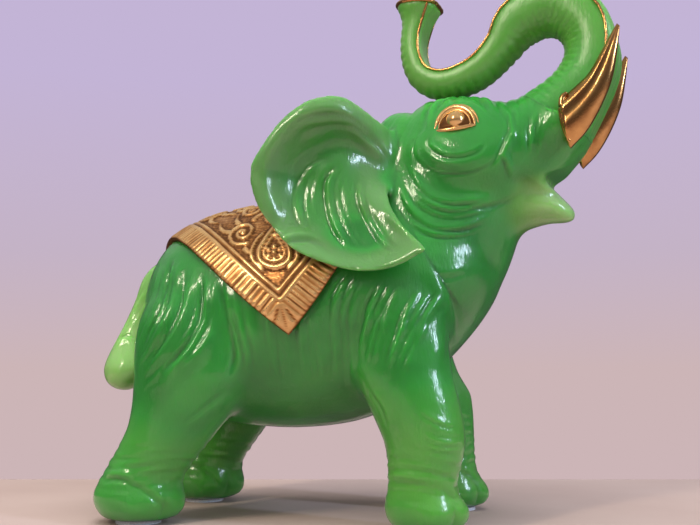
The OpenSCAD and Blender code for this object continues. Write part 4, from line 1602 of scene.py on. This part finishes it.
@dataclass(frozen=True)
class SaddleCloth:
    """The saddle cloth: a square laid cornerwise over the back, fringed and worked in relief.

    The square's places run from its rear corner, and its ornament is drawn in the square's own
    millimetres. Rear, corner and front are forward places on the animal, and the drop is the angle
    from the spine down to a hanging corner.
    """

    side: float = 88.0
    steps: int = 190
    rear: float = -80.6
    corner: float = -17.0
    front: float = 33.0
    drop: float = 101.5
    rear_bend: float = 1.55
    front_bend: float = 0.9
    thickness: float = 1.5
    bed: float = 0.4
    fringe: float = 6.2
    strand: float = 1.7
    stipple: float = 1.6
    corner_drop: Point = (18.0, 18.0)
    axis_height: float = 74.0
    axis_rise: float = 12.0
    rise_span: Point = (-10.0, 32.0)
    climb: float = 2.5
    tail_climb: float = 20.0
    tail_span: Point = (-55.0, -66.0)
    hidden_depth: float = 1.5
    hidden_from: float = -50.0

    def layout(self) -> tuple[np.ndarray, np.ndarray]:
        """Lays the square over the back.

        Returns:
            The forward place of each point, and its angle from the spine in radians.
        """
        line = np.linspace(0, 1, self.steps)
        p, q = (axis.ravel() for axis in np.meshgrid(line, line, indexing="ij"))
        bend = np.abs(q - p)
        behind = self.rear + (self.corner - self.rear) * bend**self.rear_bend
        ahead = self.corner + (self.front - self.corner) * (1 - bend) ** self.front_bend
        share = np.minimum(p, q) / np.maximum(1 - bend, 1e-6)
        return behind + share * (ahead - behind), math.radians(self.drop) * (q - p)

    def ornament(self) -> Relief:
        """Works the fringe, the border cords and the field.

        Returns:
            The worked sheet.
        """
        relief = Relief(self.side, self.steps)
        self.work_ground(relief)
        self.work_border(relief)
        self.work_corners(relief)
        self.work_scrolls(relief)
        self.work_medallion(relief)
        return relief

    def work_ground(self, relief: Relief) -> None:
        """Stipples the field.

        Args:
            relief: The sheet.
        """
        a, b = relief.spots.T
        across = np.cos(2 * math.pi * (a + 0.4 * np.sin(1.3 * b)) / self.stipple)
        along = np.cos(2 * math.pi * (b + 0.4 * np.sin(1.7 * a)) / self.stipple)
        relief.lift(0.22 * np.clip(across * along, 0, 1))

    def work_border(self, relief: Relief) -> None:
        """Works the fringe's strands, which fan out at the corners, and the two cords inside it.

        Args:
            relief: The sheet.
        """
        inner = self.fringe + 0.8
        fan = np.arctan2(np.maximum(inner - relief.inset, 0), inner - relief.along)
        corner = relief.along < inner
        count = np.where(corner, inner / self.strand - 6 * (math.pi / 2 - fan) / math.pi,
                         relief.along / self.strand)
        clear = ease(np.hypot(*(relief.spots - inner).T), 0.8, 3.5)
        groove = np.abs(np.cos(math.pi * count)) ** 0.7
        strands = 0.25 + 0.55 * np.where(corner, 1 + (groove - 1) * clear, groove)
        end = ease(relief.inset, -0.4, 1.2)
        relief.height = np.where(relief.inset < self.fringe, strands * end, relief.height)
        for inset, radius, height in ((inner, 0.75, 0.85), (inner + 1.9, 0.6, 0.65)):
            relief.round_rib(relief.inset - inset, radius, height)

    def work_corners(self, relief: Relief) -> None:
        """Works a teardrop with a flower in each corner, its point towards the middle.

        Args:
            relief: The sheet.
        """
        middle = np.array(self.corner_drop)
        axes = np.array(((1, 1), (-1, 1))) / math.sqrt(2)
        drop = np.array(((9, 0), (4.5, 2.7), (0, 4.9), (-3.8, 4.2), (-5.6, 0),
                         (-3.8, -4.2), (0, -4.9), (4.5, -2.7), (9, 0)))
        relief.cord(middle + drop @ axes, 0.95, 1.0)
        relief.cord(middle + 0.66 * drop @ axes, 0.55, 0.65)
        for k in range(6):
            turn = math.radians(60 * k)
            petal = middle + np.array((2.0 * math.cos(turn) - 0.8, 2.0 * math.sin(turn))) @ axes
            relief.bead(tuple(petal), 0.85, 0.75)
        relief.bead(tuple(middle + np.array((-0.8, 0)) @ axes), 1.0, 0.95)
        for side in (-1, 1):
            leaf = np.array(((-6.2, 4.2 * side), (-2, 7.4 * side), (3, 6.6 * side), (7, 3.8 * side)))
            relief.cord(middle + leaf @ axes, 0.9, 0.7, 0.5)

    def work_scrolls(self, relief: Relief) -> None:
        """Works scrolls on each side of every corner, with leaves that grow out of them.

        Args:
            relief: The sheet.
        """
        for middle, size, start, turns in (((31.5, 15.5), 5.2, 200, 1.7), ((40.5, 24.5), 4.0, 20, -1.6),
                                           ((29.5, 26.5), 3.2, 80, 1.5)):
            for flip in (False, True):
                steps = np.linspace(0, 1, 14)
                angle = math.radians(start) + 2 * math.pi * turns * steps
                reach = size * (1 - 0.85 * steps)
                points = np.array(middle) + (reach * (np.cos(angle), np.sin(angle))).T
                relief.cord(points[:, ::-1] if flip else points, 0.85, 0.85, 0.35)
                relief.bead(middle[::-1] if flip else middle, 0.9, 0.8)
        for leaf in (((36, 12.5), (39, 11.5), (43, 12.5)), ((37, 17), (39.5, 17.5), (42.5, 19.5)),
                     ((25.5, 12), (23.5, 11.8), (21.5, 12.3)), ((34, 21.5), (34.5, 24.5), (33, 28))):
            points = np.array(leaf)
            relief.cord(points, 1.1, 0.7, 0.75)
            relief.cord(points[:, ::-1], 1.1, 0.7, 0.75)

    def work_medallion(self, relief: Relief) -> None:
        """Works the rosette in the middle of the back.

        Args:
            relief: The sheet.
        """
        gap = relief.spots - self.side / 2
        reach = np.hypot(*gap.T)
        turn = np.arctan2(gap[:, 1], gap[:, 0])
        for ring, radius, height in ((12.5, 0.8, 0.85), (10.8, 0.5, 0.6), (3.6, 0.6, 0.8)):
            relief.round_rib(reach - ring, radius, height)
        petals = np.abs(np.cos(4 * turn)) ** 0.8 * ease(reach, 3.5, 5.0) * ease(reach, 10.2, 8.5)
        relief.lift(0.8 * petals)
        relief.bead((self.side / 2, self.side / 2), 2.6, 1.1)

    def laid(self, castings: Castings, relief: Relief) -> tuple[np.ndarray, np.ndarray]:
        """Lays the worked sheet on the carved back, over the tail's root.

        Args:
            castings: The carved skin.
            relief: The worked sheet.
        Returns:
            The sheet's outer places in millimetres, and which of them the skin hides.
        """
        ahead, angle = self.layout()
        level = np.zeros(len(ahead))
        axes = np.stack([ahead, level, self.axis_height + self.axis_rise * ease(ahead, *self.rise_span)], 1)
        ways = np.stack([level, np.sin(angle), np.cos(angle)], 1)
        radius = relief.blurred(castings.reach_out("body", axes, ways), 30)
        skin = castings.reach_out(None, axes, ways)
        climb = self.climb + self.tail_climb * ease(ahead, *self.tail_span)
        higher = np.where(skin - radius < climb, skin, radius)
        for rounds in (6, 2):
            radius = relief.blurred(np.maximum(radius, higher), rounds)
        places = axes + (radius + self.thickness + relief.height)[:, None] * ways
        return places, castings.buried(places, ways, self.hidden_depth) & (ahead > self.hidden_from)

    @staticmethod
    def tarnish(relief: Relief) -> np.ndarray:
        """Works out where the brown stays when the high places are rubbed.

        Args:
            relief: The worked sheet.
        Returns:
            Values from 0 for bright to 1 for brown.
        """
        dips = relief.blurred(relief.height, 10) - relief.height
        low = np.clip(0.75 - 1.2 * relief.height, 0, 1)
        return np.clip(low * 0.55 + np.clip(2.4 * dips, -0.2, 0.7), 0, 1)

    def build(self, castings: Castings, material: bpy.types.Material) -> bpy.types.Object:
        """Builds the cloth on the carved skin.

        Args:
            castings: The carved skin.
            material: The gilt finish.
        Returns:
            The cloth.
        """
        relief = self.ornament()
        places, hidden = self.laid(castings, relief)
        shape = bmesh.new()
        bmesh.ops.create_grid(shape, x_segments=self.steps - 1, y_segments=self.steps - 1, size=0.5)
        layer = shape.verts.layers.float.new("hollow")
        order = sorted(shape.verts, key=lambda v: (round(v.co.x, 5), round(v.co.y, 5)))
        for vert, place, brown in zip(order, places, self.tarnish(relief)):
            vert.co = Vector(place) * MM
            vert[layer] = float(brown)
        lost = [vert for vert, gone in zip(order, hidden) if gone]
        bmesh.ops.delete(shape, geom=lost, context="VERTS")
        bmesh.ops.recalc_face_normals(shape, faces=shape.faces)
        top = max(shape.faces, key=lambda f: f.calc_center_median().z)
        if top.normal.z < 0:
            bmesh.ops.reverse_faces(shape, faces=shape.faces)
        mesh = modified(mesh_of(shape, "gilt_saddle_cloth"), "SOLIDIFY",
                        thickness=(self.thickness + self.bed) * MM, offset=-1.0)
        return dressed("gilt_saddle_cloth", mesh, material, "saddle_cloth")


@dataclass(frozen=True)
class Eye:
    """A gilt half-moon eye: a ball under arched lids, on a level lower lid.

    Each lid is its reach against the eye's own, its thickness and how far out it stands.
    """

    side: Side
    lean: float = 21.6
    tilt: float = 5.0
    half_width: float = 7.0
    arch: float = 8.6
    plate_depth: float = 2.8
    plate_drop: float = 3.2
    plate_shade: float = 0.85
    lower_line: float = -3.6
    lower_sag: float = 0.7
    ball: float = 3.6
    ball_place: Place = (0.4, -0.6, 0.9)
    lids: tuple[Place, ...] = ((1.0, 1.25, 1.0), (1.16, 0.75, 0.2), (0.8, 0.6, 1.8))
    lid_drop: float = 3.4
    approach: float = 20.0
    sink: float = 0.1

    def seat(self, castings: Castings) -> Matrix:
        """Finds where the eye sits on the carved head.

        Args:
            castings: The carved skin.
        Returns:
            The eye's frame: X ahead, Y up and Z out of the head.
        """
        low, high = (Vector(corner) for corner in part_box(f"eye_{self.side.word}"))
        turn = Matrix.Rotation(-math.radians(castings.stance.head_turn), 3, "Z")
        lean = math.radians(self.lean)
        out = turn @ Vector((0, self.side.value * math.cos(lean), math.sin(lean)))
        ahead = turn @ Vector((1, 0, 0))
        ahead = (ahead - ahead.dot(out) * out).normalized()
        up = out.cross(ahead) * (1 if out.cross(ahead).z > 0 else -1)
        middle = (low + high) / 2
        spot = castings.surface(middle + self.approach * MM * out, -out) or middle
        tilt = math.radians(self.tilt)
        right = ahead * math.cos(tilt) + up * math.sin(tilt)
        over = up * math.cos(tilt) - ahead * math.sin(tilt)
        frame = Matrix((right, over, out)).transposed().to_4x4()
        return Matrix.Translation(spot - self.sink * MM * out) @ frame

    def add_plate(self, shape: bmesh.types.BMesh) -> None:
        """Adds the dark plate behind the ball, flat along the lower lid.

        Args:
            shape: The bmesh, in millimetres.
        """
        layer = shape.verts.layers.float.new("hollow")
        plate = bmesh.ops.create_uvsphere(shape, u_segments=40, v_segments=20, radius=1)["verts"]
        bmesh.ops.scale(shape, verts=plate, vec=(self.half_width, self.arch, self.plate_depth))
        bmesh.ops.translate(shape, verts=plate, vec=(0, -self.plate_drop, 0))
        halves = bmesh.ops.bisect_plane(shape, geom=shape.verts[:] + shape.edges[:] + shape.faces[:],
                                        plane_co=(0, self.lower_line, 0), plane_no=(0, -1, 0),
                                        clear_outer=True)
        rim = [part for part in halves["geom_cut"] if isinstance(part, bmesh.types.BMEdge)]
        bmesh.ops.edgeloop_fill(shape, edges=rim)
        for vert in shape.verts:
            vert[layer] = self.plate_shade

    def add_lids(self, shape: bmesh.types.BMesh) -> None:
        """Adds the arched lids and the lower one.

        Args:
            shape: The bmesh, in millimetres.
        """
        turn = np.radians(np.linspace(-4, 184, 33))
        swell = np.sin(np.linspace(0.25, math.pi - 0.25, len(turn)))
        for reach, thick, out in self.lids:
            arc = np.stack([reach * self.half_width * np.cos(turn),
                            reach * self.arch * np.sin(turn) - self.lid_drop, np.full(len(turn), out)], 1)
            swept(shape, arc, thick * swell)
        across = np.linspace(-1, 1, 25)
        sag = self.lower_line - self.lower_sag * (1 - across**2)
        lower = np.stack([self.half_width * across, sag, 1.0 + 0.5 * (1 - across**2)], 1)
        swept(shape, lower, 0.3 + 0.6 * np.sqrt(1 - across**2))

    def build(self, castings: Castings, material: bpy.types.Material) -> bpy.types.Object:
        """Builds the eye on the carved head.

        Args:
            castings: The carved skin.
            material: The gilt finish.
        Returns:
            The eye.
        """
        shape = bmesh.new()
        self.add_plate(shape)
        ball = bmesh.ops.create_uvsphere(shape, u_segments=32, v_segments=20, radius=self.ball)["verts"]
        bmesh.ops.translate(shape, verts=ball, vec=self.ball_place)
        self.add_lids(shape)
        bmesh.ops.scale(shape, verts=shape.verts, vec=(MM, MM, MM))
        bmesh.ops.transform(shape, verts=shape.verts, matrix=self.seat(castings))
        bmesh.ops.recalc_face_normals(shape, faces=shape.faces)
        word = self.side.word
        return dressed(f"gilt_eye_{word}", mesh_of(shape, "eye"), material, f"eye_{word}")


@dataclass(frozen=True)
class Tusk:
    """A gilt tusk: a leaf-shaped horn between an upper and a lower edge, with a ridge along it.

    The edges run from the lip to the tip on the side view of the straight-ahead head. Each ring of
    the rounded base is its size against the first full ring and how far behind that it lies.
    """

    side: Side
    upper: Path = ((78, 147), (82, 150), (87, 154.5), (91, 161), (94.5, 167), (97, 171))
    lower: Path = ((80.5, 129), (86, 134.5), (91, 142.5), (95, 152), (97, 162), (98, 170))
    base: Path = ((0.5, -1.2), (0.85, -0.8))
    collar: Path = ((80, 148), (78.5, 146), (78.3, 141.5), (79, 136), (80.5, 130.5))
    collar_out: float = 2.6
    spread: float = 17.5
    half_thickness: float = 4.6
    ridge: float = 0.9
    sides: int = 32

    def rows(self) -> list[np.ndarray]:
        """Draws the horn's rings on the straight-ahead head.

        Returns:
            Rings of points in millimetres, from the rounded base to the tip.
        """
        upper = curve(np.array(self.upper, float))
        lower = curve(np.array(self.lower, float))
        turn = np.linspace(0, 2 * math.pi, self.sides, endpoint=False)
        across, out = np.cos(turn), np.sin(turn)
        relief = self.ridge * (bell(across, 0.5, 0.16) - 0.7 * bell(across, 0.2, 0.16)) * np.maximum(out, 0)
        base = [(0, scale, shift) for scale, shift in self.base]
        rings = []
        for step, scale, shift in (*base, *((k, 1.0, 0.0) for k in range(len(upper)))):
            run = step / (len(upper) - 1)
            thick = scale * self.half_thickness * (1.05 - run**1.5) / 1.05
            middle = (upper[step] + lower[step]) / 2 + (shift, 0)
            flat = middle + scale * across[:, None] * (upper[step] - lower[step]) / 2
            deep = self.spread + thick * out + relief * (1 - run**3)
            rings.append(np.stack([flat[:, 0], deep, flat[:, 1]], 1))
        return rings

    def build(self, castings: Castings, material: bpy.types.Material) -> bpy.types.Object:
        """Builds the tusk.

        Args:
            castings: The castings, which know how the head is turned.
            material: The gilt finish.
        Returns:
            The tusk.
        """
        shape = closed_loft([[Vector(spot) for spot in row] for row in self.rows()])
        collar = curve(np.array(self.collar, float))
        rod = np.insert(collar, 1, self.spread + self.collar_out, axis=1)
        swept(shape, rod, 0.4 + 0.9 * np.sin(np.linspace(0.1, math.pi, len(rod))) ** 0.8)
        for vert in shape.verts:
            spot = np.array([vert.co]) * (1, self.side.value, 1)
            vert.co = Vector(castings.stance.from_head(spot)[0]) * MM
        bmesh.ops.recalc_face_normals(shape, faces=shape.faces)
        word = self.side.word
        return dressed(f"gilt_tusk_{word}", mesh_of(shape, "tusk"), material, f"tusk_{word}")


@dataclass(frozen=True)
class GiltLine:
    """A thin gilt line or rim along the trunk, smoothed from its node."""

    node: str
    swell: float = 0.0
    cell: float = 0.25

    def build(self, castings: Castings, material: bpy.types.Material) -> bpy.types.Object:
        """Builds the line from its node.

        Args:
            castings: The castings, which hold the frame.
            material: The gilt finish.
        Returns:
            The line.
        """
        copy = mesh_of(merged_copy(castings.frame["nodes"][self.node]), "line")
        skin = Skin(voxel_skin(copy, self.cell))
        skin.relax(4)
        skin.places += self.swell * skin.normals()
        skin.store()
        return dressed(f"gilt_{self.node}", skin.mesh, material, self.node)


@dataclass(frozen=True)
class PlainNodes:
    """Nodes of the frame that show as they are: the foot pads, or the dowels inside the castings."""

    word: str

    def dress(self, frame: dict, material: bpy.types.Material) -> list[bpy.types.Object]:
        """Gives a finish to every node whose name holds the word.

        Args:
            material: The finish.
        Returns:
            The nodes.
        """
        nodes = [node for name, node in frame["nodes"].items() if self.word in name]
        for node in nodes:
            coat(node.data, material)
        return nodes


# The stage


@dataclass(frozen=True)
class Studio:
    """The table, the soft lights, the pale room and the camera at the photograph's angle."""

    focal_pixels: float = 918.0
    picture_width: float = 700.0
    sensor: float = 36.0
    azimuth: float = 13.0
    pitch: float = 6.5
    standpoint: Place = (73.3, -339.3, 55.0)
    table_back: float = 115.0
    table_half: float = 1500.0
    aim: Place = (0.0, 0.0, 0.1)
    room_strength: float = 0.42

    def camera(self) -> None:
        """Sets up the camera."""
        data = bpy.data.cameras.new("camera")
        data.sensor_width = self.sensor
        data.lens = self.focal_pixels / self.picture_width * self.sensor
        data.clip_start = 0.01
        camera = bpy.data.objects.new("camera", data)
        camera.location = Vector(self.standpoint) * MM
        camera.rotation_euler = (math.radians(90 + self.pitch), 0, math.radians(self.azimuth))
        bpy.context.scene.collection.objects.link(camera)
        bpy.context.scene.camera = camera

    def table(self) -> None:
        """Lays the table top, with its back edge square to the camera."""
        half = self.table_half * MM
        shape = bmesh.new()
        bmesh.ops.create_grid(shape, x_segments=1, y_segments=1, size=half)
        bmesh.ops.translate(shape, verts=shape.verts, vec=(0, self.table_back * MM - half, 0))
        turn = Matrix.Rotation(math.radians(self.azimuth), 4, "Z")
        bmesh.ops.transform(shape, verts=shape.verts, matrix=turn)
        top = new_object("table_top", mesh_of(shape, "table_top"))
        top.data.materials.append(TableTop().build())

    def lamp(self, name: str, place: Place, size: Point, power: float, colour: str,
             mirrored: bool = True) -> None:
        """Adds an area lamp that faces the figurine.

        Args:
            name: The lamp's name.
            place: Where it stands, in metres.
            size: Its width and height in metres.
            power: Its strength in watts.
            colour: Its sRGB hex colour.
            mirrored: Whether a glossy surface shows it.
        """
        data = bpy.data.lights.new(name, "AREA")
        data.shape = "RECTANGLE"
        data.size, data.size_y = size
        data.energy = power
        data.color = linear(colour)[:3]
        lamp = bpy.data.objects.new(name, data)
        lamp.location = place
        way = Vector(self.aim) - Vector(place)
        lamp.rotation_euler = way.to_track_quat("-Z", "Y").to_euler()
        lamp.visible_glossy = mirrored
        bpy.context.scene.collection.objects.link(lamp)

    def room(self) -> None:
        """Lights the scene with a pale room, which has other colours for the camera and the gloss."""
        world = bpy.data.worlds.new("pale_room")
        world.use_nodes = True
        bpy.context.scene.world = world
        tree = world.node_tree
        tree.nodes.clear()
        way = add_node(tree, "ShaderNodeTexCoord").outputs["Generated"]
        height = add_node(tree, "ShaderNodeSeparateXYZ", {"Vector": way}).outputs["Z"]
        wall = add_node(tree, "ShaderNodeValToRGB", {"Fac": height},
                        ((0.0, "#ccb5b7"), (0.12, "#c4b3c6"), (0.3, "#c3b4d6")))
        shine = add_node(tree, "ShaderNodeValToRGB", {"Fac": height},
                         ((0.0, "#6e686c"), (0.25, "#8d868c"), (0.5, "#ffffff")))
        light = add_node(tree, "ShaderNodeBackground",
                         {"Color": linear("#ece4ea"), "Strength": self.room_strength})
        seen = add_node(tree, "ShaderNodeBackground", {"Color": wall.outputs["Color"], "Strength": 1.0})
        gloss = add_node(tree, "ShaderNodeBackground",
                         {"Color": shine.outputs["Color"], "Strength": self.room_strength})
        path = add_node(tree, "ShaderNodeLightPath")
        unseen = add_node(tree, "ShaderNodeMixShader",
                          {0: path.outputs["Is Glossy Ray"], 1: light.outputs[0], 2: gloss.outputs[0]})
        mix = add_node(tree, "ShaderNodeMixShader",
                       {0: path.outputs["Is Camera Ray"], 1: unseen.outputs[0], 2: seen.outputs[0]})
        add_node(tree, "ShaderNodeOutputWorld", {"Surface": mix.outputs[0]})

    def build(self) -> None:
        """Builds the stage, the lamps and the camera."""
        bpy.context.scene.view_settings.view_transform = "Standard"
        self.camera()
        self.table()
        self.lamp("left_lamp", (-0.45, -0.8, 0.7), (0.07, 0.4), 5.0, "#fff1d8")
        self.lamp("right_lamp", (0.9, -0.3, 0.5), (0.07, 0.45), 5.0, "#d3e4ff")
        self.lamp("top_lamp", (0.0, -0.3, 1.1), (0.9, 0.9), 12.5, "#ffffff", mirrored=False)
        self.room()


def main() -> None:
    """Builds the figurine and its stage, and reports each piece."""
    logging.basicConfig(level=logging.INFO, format="%(message)s")
    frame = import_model()
    jade = JadeResin().build()
    worn = JadeResin("jade_resin_worn", roughness=0.34).build()
    # The ears' limb and pale tones are darker, which weakens the painted glow of their thin resin.
    milky = JadeResin("jade_resin_milky", limb="#518846", pale="#6a9a5c").build()
    polish = Gilding("gilt_polish").build()
    rubbed = Gilding("gilt_rubbed", roughness=(0.24, 0.5), metal=0.7).build()
    bronzed = Gilding("gilt_bronzed", bright="#dca768", worn="#96603c", hollow="#4a2c1a", metal=1.0).build()
    castings = Castings(frame, Stance())
    pieces = [SaddleCloth().build(castings, rubbed)]
    for side in Side:
        pieces.append(Eye(side).build(castings, polish))
        pieces.append(Tusk(side).build(castings, bronzed))
        pieces.append(GiltLine(f"trunk_bead_{side.word}").build(castings, bronzed))
    pieces.append(GiltLine("trunk_tip_rim", 0.3).build(castings, bronzed))
    pieces += castings.dress(jade, worn, milky)
    pieces += PlainNodes("foot_pad").dress(frame, SoftPad().build())
    pieces += PlainNodes("dowel").dress(frame, DrawnSteel().build())
    Studio().build()
    for piece in pieces:
        log.info("%s: %d faces", piece.name, len(piece.data.polygons))


if __name__ == "__main__":
    main()
